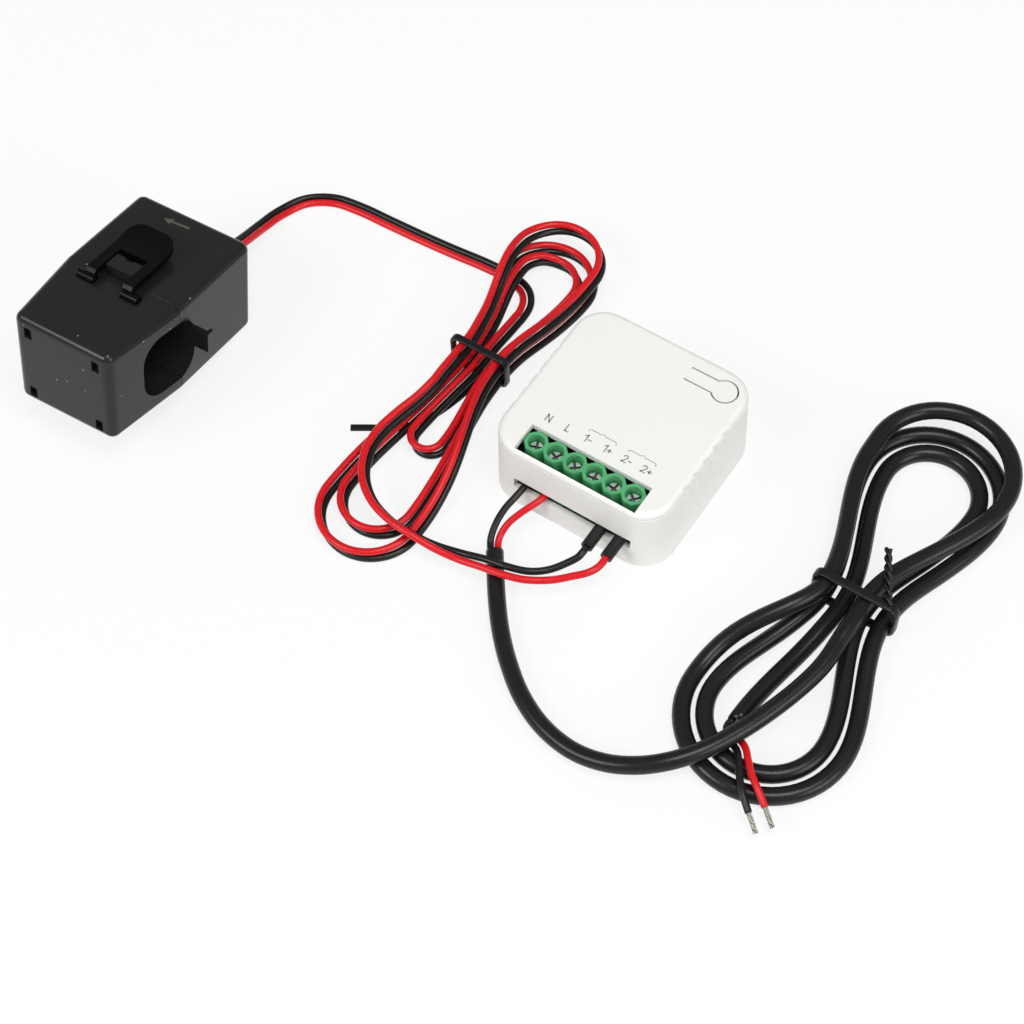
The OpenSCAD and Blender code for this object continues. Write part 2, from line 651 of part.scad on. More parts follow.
module filter_capacitor() {
  color(case_black) translate([capacitor_x, capacitor_y, board_top]) {
    cylinder(d = capacitor_d, h = capacitor_h);
    translate([0, 0, capacitor_h]) cylinder(d = capacitor_d - 1, h = 0.4);
  }
}

module varistor() {
  color([0.15, 0.3, 0.6]) translate([board_left + 5.1, screw_y + 10.9, board_top]) {
    translate([0, 0, varistor_d / 2 + 2]) rotate([90, 0, 0]) cylinder(d = varistor_d, h = 3, center = true);
    for (x = [-2.5, 2.5]) translate([x, 0, 0]) cylinder(d = 0.8, h = 4);
  }
}

module metering_chip() {
  color(case_black) {
    translate([8, -6, board_top + 0.2]) cube([6, 5, 1.5]);
    for (x = [0:3], s = [-0.8, 5]) translate([8.6 + 1.4 * x, -6 + s, board_top]) cube([0.5, 0.8, 0.8]);
  }
}

module converter_transformer() {
  color([0.85, 0.75, 0.3]) translate([converter_x, converter_y, board_top]) {
    cube([converter_w, converter_d, 2]);
    translate([1, 1, 2]) cube([converter_w - 2, converter_d - 2, converter_h - 3]);
    translate([0, 0, converter_h - 1]) cube([converter_w, converter_d, 1]);
  }
}

// Fixed half of the case: a rounded block that runs past the parting line and is cut there
module rear_case() {
  intersection() {
    hull() for (x = [-1, 1], y = [-2 * case_r, rear_len - case_r], z = [case_r, case_h - case_r])
      translate([x * (clamp_w / 2 - case_r), y, z]) sphere(case_r, $fn = 32);
    translate([-clamp_w, parting_gap / 2, -case_h]) cube([2 * clamp_w, 2 * rear_len, 3 * case_h]);
  }
}

// Jaw half of the case, which narrows from the parting line to its rounded front
module jaw_case() {
  hull() for (x = [-1, 1], z = [case_r, case_h - case_r]) {
    translate([x * (jaw_front_w / 2 - case_r), case_r - front_len, z]) sphere(case_r, $fn = 24);
    translate([x * (clamp_w / 2 - case_r), -parting_gap / 2, z]) rotate([90, 0, 0])
      cylinder(r = case_r, h = 0.2, $fn = 24);
  }
}

module aperture_cut() {
  translate([0, aperture_back - aperture / 2, aperture_z + aperture / 2]) rotate([90, 0, 90])
    linear_extrude(clamp_w + 4, center = true) rounded_plan(aperture, aperture, aperture_r);
}

// C shaped core half: two limbs from the parting line and a bar that joins them
module core_half(reach, side, grow) {
  low = limb_low_z - grow;
  high = limb_top_z + limb_t + grow;
  w = core_w + 2 * grow;
  near = side * parting_gap / 2;
  far = side * (reach + grow);
  for (z = [low, limb_top_z - grow]) translate([-w / 2, min(near, far), z])
    cube([w, abs(far - near), limb_t + 2 * grow]);
  translate([-w / 2, min(far, side * (reach - core_bar - grow)), low])
    cube([w, core_bar + 2 * grow, high - low]);
}

module barrel(x, length) {
  translate([x, 0, barrel_z]) rotate([0, 90, 0]) cylinder(r = barrel_r, h = length, center = true);
}
module barrel_arm(x, length, side) {
  translate([x - length / 2, min(0, side * 2 * barrel_r), barrel_z])
    cube([length, 2 * barrel_r, case_r - barrel_z]);
}
module pin_bore() {
  translate([0, 0, barrel_z]) rotate([0, 90, 0]) cylinder(d = pin_d + fit, h = clamp_w, center = true);
}

// Catch that the latch hooks behind, let into the roof of the rear shell
module latch_catch() {
  top = catch_seat + catch_h;
  color(case_black) in_clamp() difference() {
    translate([latch_x - catch_w / 2, 0, case_h - catch_seat]) rotate([90, 0, 90]) linear_extrude(catch_w)
      polygon([[catch_front, touch], [catch_back, touch], [catch_back, top - catch_slope],
               [catch_back - catch_slope, top], [catch_front, top]]);
    translate([latch_x, catch_back, case_h]) cylinder(d = notch_d, h = catch_h + cut);
  }
}

module clamp_rear_shell() {
  rear_room = bar_y + core_bar;
  color(case_black) in_clamp() difference() {
    union() {
      rear_case();
      for (x = [-1, 1]) {
        barrel(x * barrel_len, barrel_len - barrel_gap);
        intersection() {
          barrel_arm(x * barrel_len, barrel_len - barrel_gap, 1);
          translate([-clamp_w / 2, parting_gap / 2, -case_h]) cube([clamp_w, rear_len, 2 * case_h]);
        }
      }
      translate([clamp_w / 2 - case_r, aperture_back, tie_tab_z])
        cube([tie_tab[0] + case_r, tie_tab[1], tie_tab[2]]);
      translate([clamp_w / 2 + tie_tab[0] - tie_hook[0], aperture_back, tie_tab_z])
        cube([tie_hook[0], tie_hook[1], tie_tab[2]]);
    }
    aperture_cut();
    pin_bore();
    core_half(rear_room, 1, fit / 2);
    translate([-clamp_w / 2 + shell_t, aperture_back + shell_t, limb_low_z + limb_t + shell_t])
      cube([clamp_w - 2 * shell_t, rear_len - 2 * shell_t - aperture_back,
            limb_top_z - limb_low_z - limb_t - 2 * shell_t]);
    translate([latch_x - catch_w / 2 - touch, -cut, case_h - catch_seat])
      cube([catch_w + 2 * touch, catch_back + touch + cut, catch_seat + cut]);
    translate([lead_x, rear_len, lead_z]) rotate([90, 0, 0]) linear_extrude(3 * shell_t, center = true)
      rounded_plan(lead_hole[0], lead_hole[1], lead_hole[1] / 2 - touch);
    rotate([0, 90, 0]) translate([-barrel_z, 0, 0])
      cylinder(r = barrel_r + barrel_gap, h = barrel_len + barrel_gap, center = true);
  }
}

module clamp_jaw_shell() {
  front_room = -jaw_bar_y;
  color(case_black) in_clamp() difference() {
    union() {
      jaw_case();
      barrel(0, barrel_len - barrel_gap);
      intersection() {
        barrel_arm(0, barrel_len - barrel_gap, -1);
        translate([-clamp_w / 2, -front_len - parting_gap / 2, -case_h])
          cube([clamp_w, front_len, 2 * case_h]);
      }
    }
    aperture_cut();
    pin_bore();
    core_half(front_room, -1, fit / 2);
    translate([-snap_span / 2 - snap_w, -front_len + shell_t, snap_low - snap_h / 2 - 0.6])
      cube([snap_span + 2 * snap_w, carrier_t + fit, snap_high - snap_low + snap_h + 1.2]);
    translate([-core_w / 2, -front_len + shell_t, limb_low_z])
      cube([core_w, front_len + jaw_bar_y - shell_t + cut, 6]);
    for (x = [-1, 1], z = [snap_low, snap_high])
      translate([x * snap_span / 2 - snap_w / 2, -front_len - cut, z - snap_h / 2])
        cube([snap_w, shell_t + 2 * cut, snap_h]);
    latch_feet(fit);
    for (x = [-1, 1]) translate([x * barrel_len, 0, barrel_z]) rotate([0, 90, 0])
      cylinder(r = barrel_r + barrel_gap, h = barrel_len + barrel_gap, center = true);
  }
}

// Latch: two legs hinged on the jaw by their round feet, and a finger tab that hooks behind the catch
module latch_feet(grow) {
  reach = latch_leg_w + foot_out;
  for (x = [-1, 1])
    translate([latch_x + x * (latch_w / 2 + foot_out - reach / 2), foot_y, foot_z]) rotate([0, 90, 0])
    cylinder(r = foot_r + grow, h = reach + 2 * grow, center = true);
}
plate_z = case_h + tab_lift;
tab_front = catch_back + tab_gap;
tab_bend = tab_front + 1.4;
tab_curve = [for (i = [0:tab_steps]) let (t = i / tab_steps)
  [mix_of(tab_bend, latch_back, t), plate_z + tab_rise * t * t]];
latch_side = concat([[foot_y + 0.2, foot_z], [foot_y + 1, plate_z]], tab_curve,
  [for (i = [0:tab_steps]) tab_curve[tab_steps - i] + [0, latch_t]],
  [[foot_y + 0.6, plate_z + latch_t], [foot_y - 0.1, plate_z + latch_t - 0.7], [foot_y - 0.1, foot_z]]);
module clamp_latch() {
  color(case_black) in_clamp() {
    translate([latch_x, 0, 0]) intersection() {
      translate([-latch_w / 2, 0, 0]) rotate([90, 0, 90]) linear_extrude(latch_w) polygon(latch_side);
      linear_extrude(2 * case_h) difference() {
        union() {
          translate([-latch_w / 2, foot_y - 2]) square([latch_w, latch_back - tab_r - foot_y + 2]);
          translate([-latch_w / 2 + tab_r, foot_y]) square([latch_w - 2 * tab_r, latch_back - foot_y]);
          for (x = [-1, 1]) translate([x * (latch_w / 2 - tab_r), latch_back - tab_r]) circle(tab_r);
        }
        translate([-latch_w / 2 + latch_leg_w, foot_y - 3])
          square([latch_w - 2 * latch_leg_w, tab_front - foot_y + 3]);
      }
    }
    latch_feet(0);
  }
}

module hinge_pin() {
  color(nickel) in_clamp() translate([0, 0, barrel_z]) rotate([0, 90, 0])
    cylinder(d = pin_d, h = 3 * barrel_len - barrel_gap, center = true);
}

module rear_core() { color(ferrite) in_clamp() core_half(bar_y + core_bar, 1, 0); }
module jaw_core() { color(ferrite) in_clamp() core_half(-jaw_bar_y, -1, 0); }

bobbin_t = 0.8;
bobbin_z = limb_low_z + limb_t + shell_t + 0.1;
bobbin_h = limb_top_z - limb_low_z - limb_t - 2 * shell_t - 0.2;
module coil_bobbin() {
  bore = [core_w + fit, core_bar + fit];
  color(plastic_white) in_clamp() translate([0, bar_y + core_bar / 2, bobbin_z]) difference() {
    union() {
      translate([0, 0, bobbin_h / 2])
        cube([bore[0] + 2 * bobbin_t, bore[1] + 2 * bobbin_t, bobbin_h], center = true);
      for (z = [bobbin_t / 2, bobbin_h - bobbin_t / 2]) translate([0, 0, z])
        cube([bore[0] + 8, bore[1] + 8, bobbin_t], center = true);
    }
    translate([0, 0, bobbin_h / 2]) cube([bore[0], bore[1], bobbin_h + 1], center = true);
  }
}

module coil_winding() {
  inner = [core_w + fit + 2 * bobbin_t + fit, core_bar + 2 * fit + 2 * bobbin_t];
  color(copper) in_clamp() translate([0, bar_y + core_bar / 2, bobbin_z + bobbin_t + fit])
    linear_extrude(bobbin_h - 2 * bobbin_t - 2 * fit) difference() {
      rounded_plan(inner[0] + 4.6, inner[1] + 4.6, 2.3);
      square(inner, center = true);
    }
}

module core_carrier() {
  color(case_black) in_clamp() {
    translate([-snap_span / 2 - snap_w + fit, -front_len + shell_t + fit / 2, snap_low - snap_h / 2 - 0.4])
      cube([snap_span + 2 * snap_w - 2 * fit, carrier_t, snap_high - snap_low + snap_h + 0.8]);
    for (x = [-1, 1], z = [snap_low, snap_high])
      translate([x * snap_span / 2 - snap_w / 2 + fit / 2, -front_len + snap_depth, z - snap_h / 2 + fit / 2])
        cube([snap_w - fit, shell_t, snap_h - fit]);
  }
}

module sensor_red_clamp_lead() { color(wire_red) tube(red_clamp_line, sensor_core_d, 8); }
module sensor_black_clamp_lead() { color(wire_black) tube(black_clamp_line, sensor_core_d, 8); }
module sensor_red_hank() { color(wire_red) tube(sensor_red_line, sensor_core_d, 6); }
module sensor_black_hank() { color(wire_black) tube(sensor_black_line, sensor_core_d, 6); }
module sensor_red_module_lead() { color(wire_red) tube(red_module_line, sensor_core_d, 8); }
module sensor_black_module_lead() { color(wire_black) tube(black_module_line, sensor_core_d, 8); }

// Insulating sleeve with the bare end that its terminal grips
module sleeve(terminal, line) {
  color(wire_black) translate([terminal_xs[terminal], 0, wire_z]) rotate([-90, 0, 0]) {
    translate([0, 0, line[len(line) - 1][1]]) cylinder(d = sleeve_d, h = entry_y - line[len(line) - 1][1]);
    translate([0, 0, entry_y - touch]) cylinder(d = bare_d, h = tip_end_y - entry_y);
  }
}
module sensor_red_sleeve() { sleeve(5, red_module_line); }
module sensor_black_sleeve() { sleeve(4, black_module_line); }

// Wire tie: a flat loop round a hank's waist with its two ends twisted together on top
module tie(at, half_left, half_right, top, band) {
  w = half_left + half_right;
  translate([at[0] + (half_right - half_left) / 2, at[1], top / 2 + touch]) rotate([90, 0, 0])
    linear_extrude(band, center = true) difference() {
      rounded_plan(w, top, 1.8);
      rounded_plan(w - 2 * tie_t, top - 2 * tie_t, 0.9);
    }
}

sensor_tie_left = waist_v(sensor_hank, 4) + pair_side / 2 + sensor_core_d / 2 + tie_t + fit;
sensor_tie_right = waist_v(sensor_hank, 3) + pair_side / 2 + sensor_core_d / 2 + tie_t + fit;
sensor_tie_top = sensor_low + sensor_layer + waist_lift + pair_up / 2 + sensor_core_d / 2 + tie_t + fit;
module sensor_tie() {
  color(wire_black) {
    tie(sensor_hank_at, sensor_tie_left, sensor_tie_right, sensor_tie_top, strip_w);
    translate([0, 0, touch]) linear_extrude(strip_t) for (i = [0:len(strip_route) - 2]) {
      step = strip_route[i + 1] - strip_route[i];
      translate(strip_route[i]) rotate(atan2(step[1], step[0])) translate([0, -strip_w / 2])
        square([norm(step), strip_w]);
      if (i > 0) translate(strip_route[i]) circle(d = strip_w);
    }
  }
}

power_tie_slack = [0.7, 0.35];
power_tie_left = waist_v(power_hank_values, 2) + jacket_d / 2 + tie_t + fit + power_tie_slack[0];
power_tie_right = waist_v(power_hank_values, 3) + jacket_d / 2 + tie_t + fit + power_tie_slack[1];
power_tie_top = power_low + power_layer + waist_lift + jacket_d / 2 + tie_t + fit;
tie_tail_len = 14;
module power_tie() {
  color(wire_black) {
    tie(power_hank_at, power_tie_left, power_tie_right, power_tie_top, 2.2);
    translate([power_hank_at[0] + power_tie_right - power_tie_slack[1] - 3, power_hank_at[1], power_tie_top])
      rotate([-90, 0, 28]) cylinder(d1 = 2.4, d2 = 1.8, h = tie_tail_len);
  }
}

// Core of the power lead at the module, with the bare end that its terminal grips
module power_core(terminal, route) {
  tube(power_core_line(terminal, route), power_core_d, 8);
  translate([terminal_xs[terminal], entry_y - touch, wire_z]) rotate([-90, 0, 0])
    cylinder(d = bare_d, h = tip_end_y - entry_y);
}
module power_black_core() { color(wire_black) power_core(0, black_core_route); }
module power_red_core() { color(wire_red) power_core(1, red_core_route); }
module power_lead() { color(wire_black) tube(jacket_route, jacket_d, 10); }
module power_hank() { color(wire_black) tube(power_line, jacket_d, 6); }
module power_black_tail() { color(wire_black) tube(black_tail_line, power_core_d, 8); }
module power_red_tail() { color(wire_red) tube(red_tail_line, power_core_d, 8); }

// Tinned end that goes on from a core's last point
module tinned_tip(line) {
  end = line[len(line) - 1];
  h = unit(end - line[len(line) - 2]);
  translate(end) rotate([0, acos(h[2]), atan2(h[1], h[0])]) cylinder(d = bare_d, h = tail_tip_len);
}
module power_black_tip() { color(nickel) tinned_tip(black_tail_line); }
module power_red_tip() { color(nickel) tinned_tip(red_tail_line); }

echo(sensor_hank_gap = least_gap(sensor_red_line, sensor_core_d));
echo(sensor_pair_gap = least_between(sensor_red_line, sensor_black_line, sensor_core_d));
echo(power_hank_gap = least_gap(power_line, jacket_d));

top_cover();
bottom_cover();
reset_button();
main_board();
terminal_block();
terminal_contacts();
for (i = [1:6]) {
  terminal_screw(i - 1);
  terminal_cage(i - 1);
}
switch_body();
switch_plunger();
radio_module();
filter_capacitor();
varistor();
metering_chip();
converter_transformer();
clamp_rear_shell();
clamp_jaw_shell();
latch_catch();
clamp_latch();
hinge_pin();
rear_core();
jaw_core();
coil_bobbin();
coil_winding();
core_carrier();
sensor_red_clamp_lead();
sensor_black_clamp_lead();
sensor_red_hank();
sensor_black_hank();
sensor_red_module_lead();
sensor_black_module_lead();
sensor_red_sleeve();
sensor_black_sleeve();
sensor_tie();
power_black_core();
power_red_core();
power_lead();
power_hank();
power_black_tail();
power_red_tail();
power_black_tip();
power_red_tip();
power_tie();
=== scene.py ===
# %% [markdown]
# # A smart energy monitor, dressed for a photograph
# The real object is a small white meter module for a wall box, a black hinged current clamp, and two leads
# that came out of the packet wound into tied hanks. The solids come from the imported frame. This lesson adds
# the camera, the leads, the finishes and the small printed details, in the same frame and in metres.

# %% Load the frame
import json
import math

import bmesh
import bpy
import numpy as np
from mathutils import Matrix, Vector


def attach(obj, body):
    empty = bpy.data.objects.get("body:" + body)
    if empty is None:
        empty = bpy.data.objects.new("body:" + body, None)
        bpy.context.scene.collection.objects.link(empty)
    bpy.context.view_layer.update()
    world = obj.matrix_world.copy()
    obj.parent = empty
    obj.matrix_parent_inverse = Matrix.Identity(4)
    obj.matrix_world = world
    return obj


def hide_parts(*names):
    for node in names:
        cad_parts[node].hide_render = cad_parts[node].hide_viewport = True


MM = 0.001
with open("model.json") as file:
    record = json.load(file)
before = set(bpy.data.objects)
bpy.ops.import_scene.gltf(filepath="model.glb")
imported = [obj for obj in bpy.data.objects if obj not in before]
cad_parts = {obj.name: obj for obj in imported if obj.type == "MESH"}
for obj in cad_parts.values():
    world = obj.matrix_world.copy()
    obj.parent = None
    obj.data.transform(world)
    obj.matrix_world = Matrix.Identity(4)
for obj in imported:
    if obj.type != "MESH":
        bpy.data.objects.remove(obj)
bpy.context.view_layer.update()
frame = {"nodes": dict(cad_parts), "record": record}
scene = bpy.context.scene

# %% [markdown]
# ## The camera
# The photograph is taken from high on the right. The angles below were found by matching the module's
# corners, so the camera stands where the photographer stood, with a longish lens and a slight roll.

# %% Place the camera
AZIMUTH = math.radians(36.27)
ELEVATION = math.radians(58.22)
ROLL = math.radians(-2.98)
AIM = Vector((-13.36, -25.24, 0)) * MM
DISTANCE = 493.03 * MM
LENS = 77.27
SENSOR = 36

level_share = math.cos(ELEVATION)
back = Vector((math.sin(AZIMUTH) * level_share, -math.cos(AZIMUTH) * level_share, math.sin(ELEVATION)))
right = Vector((math.cos(AZIMUTH), math.sin(AZIMUTH), 0))
up = back.cross(right)
rolled_right = right * math.cos(ROLL) + up * math.sin(ROLL)
rolled_up = up * math.cos(ROLL) - right * math.sin(ROLL)

camera_data = bpy.data.cameras.new("camera")
camera_data.lens = LENS
camera_data.sensor_width = SENSOR
camera_data.clip_start = 0.01
camera = bpy.data.objects.new("camera", camera_data)
turn = Matrix((rolled_right, rolled_up, back)).transposed().to_4x4()
camera.matrix_world = Matrix.Translation(AIM + back * DISTANCE) @ turn
scene.collection.objects.link(camera)
scene.camera = camera
print("camera at", tuple(round(v, 3) for v in camera.location))

# %% [markdown]
# ## The leads
# A twin lead joins the clamp to the module, and a jacketed lead brings the power. A lead is a fixed length of
# something limp, so its line comes first and its thickness second. A simulated rope would fall where it
# likes, and these leads have to lie where the photograph shows them. So their free stretches go through
# given points, in millimetres, with a smooth spline through them.

# %% Small helpers for lines
def ease(t):
    t = min(1.0, max(0.0, t))
    return t * t * (3 - 2 * t)


def hump(t):
    return 0.0 if abs(t) >= 1 else math.cos(math.pi / 2 * t) ** 2


def plateau(t):
    return min(1.0, 1.5 * hump(t))


def mix(a, b, t):
    return a + (b - a) * t


def spline(points, steps):
    """A smooth line through the points, and each sample's place along the list from 0 to 1."""
    points = [np.array(p, float) for p in points]
    ends = [2 * points[0] - points[1]] + points + [2 * points[-1] - points[-2]]
    line = []
    places = []
    count = len(points) - 1
    for i in range(count):
        p0, p1, p2, p3 = ends[i : i + 4]
        k0 = np.linalg.norm(p1 - p0) ** 0.5
        k1 = k0 + np.linalg.norm(p2 - p1) ** 0.5
        k2 = k1 + np.linalg.norm(p3 - p2) ** 0.5
        for s in range(steps if i < count - 1 else steps + 1):
            t = mix(k0, k1, s / steps)
            a = p0 * (k0 - t) / k0 + p1 * t / k0
            b = p1 * (k1 - t) / (k1 - k0) + p2 * (t - k0) / (k1 - k0)
            c = p2 * (k2 - t) / (k2 - k1) + p3 * (t - k1) / (k2 - k1)
            d = a * (k1 - t) / k1 + b * t / k1
            e = b * (k2 - t) / (k2 - k0) + c * (t - k0) / (k2 - k0)
            line.append(d * (k1 - t) / (k1 - k0) + e * (t - k0) / (k1 - k0))
            places.append((i + s / steps) / count)
    return line, places


def headings(line):
    line = np.array(line)
    ahead = np.vstack([line[1:], line[-1:]]) - np.vstack([line[:1], line[:-1]])
    return ahead / np.linalg.norm(ahead, axis=1)[:, None]


def pair_line(points, side, roll, half, steps=8):
    """One core of a twin lead: beside the middle line, with the pair rolled and spread along the way."""
    line, places = spline(points, steps)
    out = []
    for p, h, t in zip(line, headings(line), places):
        tilt = math.radians(mix(roll[0], roll[1], ease((t - roll[2]) / roll[3])))
        reach = mix(half[0], half[1], ease((t - half[2]) / half[3]))
        across = np.array([h[1], -h[0], 0.0])
        across /= np.linalg.norm(across)
        out.append(p + side * reach * (math.cos(tilt) * across + np.array([0, 0, math.sin(tilt)])))
    return out


# %% [markdown]
# ### The hanks
# Each lead is folded into a hank with a waist, where its tie sits. Turns drawn by hand would hardly nest, but
# a hank follows a rule, so a formula gives its line: each run along the hank is drawn in at the waist and
# ends in a half circle, the runs spiral outwards, and the last turn climbs onto the others.

# %% The waisted hank
class Hank:
    """A hank: bends hold the reach from the waist and the half widths on both sides."""

    def __init__(self, first_dir, bends, first_v, pitch, layer, first_u, last_u, last_v, first_flare):
        self.first_dir = first_dir
        self.bends = bends
        self.first_v = first_v
        self.pitch = pitch
        self.layer = layer
        self.first_u = first_u
        self.last_u = last_u
        self.last_v = last_v
        self.first_flare = first_flare
        self.last = len(bends)

    def direction(self, k):
        return self.first_dir if k % 2 == 0 else -self.first_dir

    def side(self, k):
        return -1 if k % 2 == 0 else 1

    def radius(self, k):
        return (self.bends[k][1] + self.bends[k][2]) / 2

    def bend_u(self, k):
        return self.direction(k) * (self.bends[k][0] - self.radius(k))

    def waist_v(self, k):
        return self.first_v + self.pitch * k / 2

    def start(self, k):
        return self.first_u if k == 0 else self.bend_u(k - 1)

    def stop(self, k):
        return self.last_u if k == self.last else self.bend_u(k)

    def coming(self, k, u):
        return u * self.direction(k) < 0

    def lateral(self, k, u):
        if self.coming(k, u):
            return mix(self.waist_v(k), self.bends[k - 1][2], ease(u / self.start(k)))
        return mix(self.waist_v(k), self.bends[k][1], ease(u / self.stop(k)))

    def run(self, k, t):
        u = mix(self.start(k), self.stop(k), t)
        coming = self.coming(k, u)
        if k == 0 and coming:
            return u, -mix(self.waist_v(0), self.first_flare, ease(u / self.first_u)), 0
        if k == 0:
            return u, -self.lateral(0, u), 0
        if k == self.last:
            spread = ease(u / self.start(k)) if coming else 0
            return u, self.side(k) * mix(self.last_v, self.bends[k - 1][2], spread), self.layer
        if k == self.last - 1:
            out = ease(u / self.start(k)) if coming else 0
            spread = mix(self.pitch, self.bends[k - 1][2] - self.bends[k - 3][2], out)
            swell = 1 + 0.16 * math.sin(math.pi * out)
            v = self.lateral(k - 2, u) + swell * spread * math.sin(math.pi / 2 * out)
            return u, self.side(k) * v, swell * self.layer * math.cos(math.pi / 2 * out)
        return u, self.side(k) * self.lateral(k, u), 0

    def bend(self, k, angle):
        shift = (self.bends[k][1] - self.bends[k][2]) / 2
        u = self.bend_u(k) + self.direction(k) * self.radius(k) * math.sin(angle)
        v = self.side(k) * (shift + self.radius(k) * math.cos(angle))
        return u, v, self.layer if k == self.last - 1 else 0

    def line(self, run_steps=40, bend_steps=28):
        out = []
        for k in range(self.last + 1):
            out += [self.run(k, i / run_steps) for i in range(run_steps)]
            if k == self.last:
                out.append(self.run(k, 1))
            else:
                out += [self.bend(k, math.pi * i / bend_steps) for i in range(bend_steps)]
        return out


# %% [markdown]
# ### The sensor lead
# This lead is a pair of cores. Each core keeps beside one middle line, and the pair rolls and spreads on the
# way: side by side at the clamp, one above the other in the hank, and a terminal apart at the module.

# %% The sensor lead's sizes and hank
CORE_D = 1.7
PAIR_SIDE = 1.0
PAIR_UP = CORE_D + 0.25
TOUCH = 0.03
TIE_T = 0.9
SENSOR_AT = (-40, 2.5)
SENSOR_LOW = CORE_D / 2 + PAIR_UP / 2 + TOUCH
SENSOR_BENDS = [
    (26.5, 3.2, 4.6), (36, 6.4, 7.9), (50.5, 7.9, 9.3),
    (40, 9.3, 10.8), (57, 10.8, 12.2), (43.5, 9.3, 10.8),
]
sensor_hank = Hank(-1, SENSOR_BENDS, 1.2, 2.4, 4.4, 14, -10, 4.8, 1.2)
WAIST_LIFT = TIE_T + 0.1
WAIST_HALF = 20
STRIP_W = 1.8
STRIP_T = 0.45
STRIP_LIFT = STRIP_T + 0.1
STRIP_U = -24
STRIP_HALF = 24
STRIP_ROUTE = [(-40, 2), (-41, -6), (-43.4, -14), (-47.6, -20.4), (-53.6, -24.2), (-57.2, -26.5)]
CROSS_U = 26.5
CROSS_HALF = 15
CROSS_LIFT = CORE_D + 0.8
print("sensor hank with", sensor_hank.last, "bends")

# %% The clamp's own frame
CLAMP_AT = (-109, -42.5)
CLAMP_TURN = math.radians(3)
CLAMP_PITCH = math.radians(12.4)
REAR_LEN = 27.6
CASE_R = 2.2
SHELL_T = 1.6
LEAD_X = 4
LEAD_Z = 12
EDGE_DROP = CASE_R * (math.sin(CLAMP_PITCH) + math.cos(CLAMP_PITCH) - 1)
CLAMP_Z = REAR_LEN * math.sin(CLAMP_PITCH) - EDGE_DROP + TOUCH


def clamp_point(x, y, z):
    """A point of the clamp's own frame, in the object's frame, in millimetres."""
    fore = y * math.cos(CLAMP_PITCH) + z * math.sin(CLAMP_PITCH)
    rise = z * math.cos(CLAMP_PITCH) - y * math.sin(CLAMP_PITCH)
    return (
        CLAMP_AT[0] + x * math.cos(CLAMP_TURN) - fore * math.sin(CLAMP_TURN),
        CLAMP_AT[1] + x * math.sin(CLAMP_TURN) + fore * math.cos(CLAMP_TURN),
        CLAMP_Z + rise,
    )


print("foot of the clamp's parting line", round(CLAMP_Z, 2), "mm up")

# %% The sensor lead's routes
CLAMP_ROUTE = [
    clamp_point(LEAD_X, REAR_LEN - SHELL_T, LEAD_Z), clamp_point(LEAD_X, REAR_LEN + 2, LEAD_Z),
    (-106.9, -6, 9.9), (-107.7, 1, 6.6), (-108.6, 8, 3.4), (-108.4, 15, 1.4), (-105.6, 21.6, 0.9),
    (-100, 25.5, 0.9), (-93, 26.8, 0.9), (-84, 27.2, 0.9), (-75, 27.6, 0.9), (-66, 28.2, 0.9),
    (-57, 29, 0.9), (-50, 29, 0.9), (-45, 27.6, 1), (-42.2, 24.4, 1.6), (-41.2, 20.5, 1.97),
    (-41.2, 18.5, 2.08), (-41.2, 16.5, 2.16),
]
MODULE_ROUTE = [
    (-44.8, -7.5, 7.31), (-44.8, -9.5, 7.25), (-45.6, -15, 6.85), (-47, -21, 6.75), (-47.8, -27, 6.75),
    (-47, -33, 6.7), (-44, -38.6, 6.5), (-39, -42.6, 6.3), (-33, -44.6, 6.2), (-27, -45, 6),
    (-21, -44.2, 4.6), (-15, -43, 4.2), (-9.5, -42.2, 5.3), (-4.5, -41.6, 6), (0.5, -40, 6),
    (4.6, -37.2, 6), (8, -33.8, 6.8), (10, -31.4, 7.5), (10.6, -29.6, 7.7), (10.6, -27.8, 7.7),
]
PAIR_ROLL = math.degrees(math.atan2(PAIR_UP, PAIR_SIDE))
PAIR_HALF = math.hypot(PAIR_UP, PAIR_SIDE) / 2
TERMINAL_PITCH = 5
CLAMP_ROLL = (0, PAIR_ROLL, 0.78, 0.12)
CLAMP_HALF = (PAIR_UP / 2, PAIR_HALF, 0.78, 0.12)
MODULE_ROLL = (PAIR_ROLL, 0, 0.45, 0.2)
MODULE_HALF = (PAIR_HALF, TERMINAL_PITCH / 2, 0.74, 0.2)


def sensor_hank_line(side):
    out = []
    for u, v, z in sensor_hank.line():
        lift = WAIST_LIFT * plateau(u / WAIST_HALF) + STRIP_LIFT * plateau((u - STRIP_U) / STRIP_HALF)
        lift += CROSS_LIFT * hump((u - CROSS_U) / CROSS_HALF) * ease(-v / 5 - 0.25)
        base = np.array([SENSOR_AT[0] + v, SENSOR_AT[1] + u, SENSOR_LOW + z + lift])
        out.append(base + side * np.array([-PAIR_SIDE, 0, PAIR_UP]) / 2)
    return out


def sensor_line(side):
    near_clamp = pair_line(CLAMP_ROUTE, side, CLAMP_ROLL, CLAMP_HALF)
    near_module = pair_line(MODULE_ROUTE, side, MODULE_ROLL, MODULE_HALF)
    return near_clamp[:-1] + sensor_hank_line(side) + near_module[1:]


print("sensor routes with", len(CLAMP_ROUTE), "and", len(MODULE_ROUTE), "points")

# %% [markdown]
# ### The power lead
# Its jacket starts in front of the module, crosses the floor and runs on into its own hank, all on one line.
# The cores are separate: two short ones go into the terminals, and two tails come out at the stripped end.

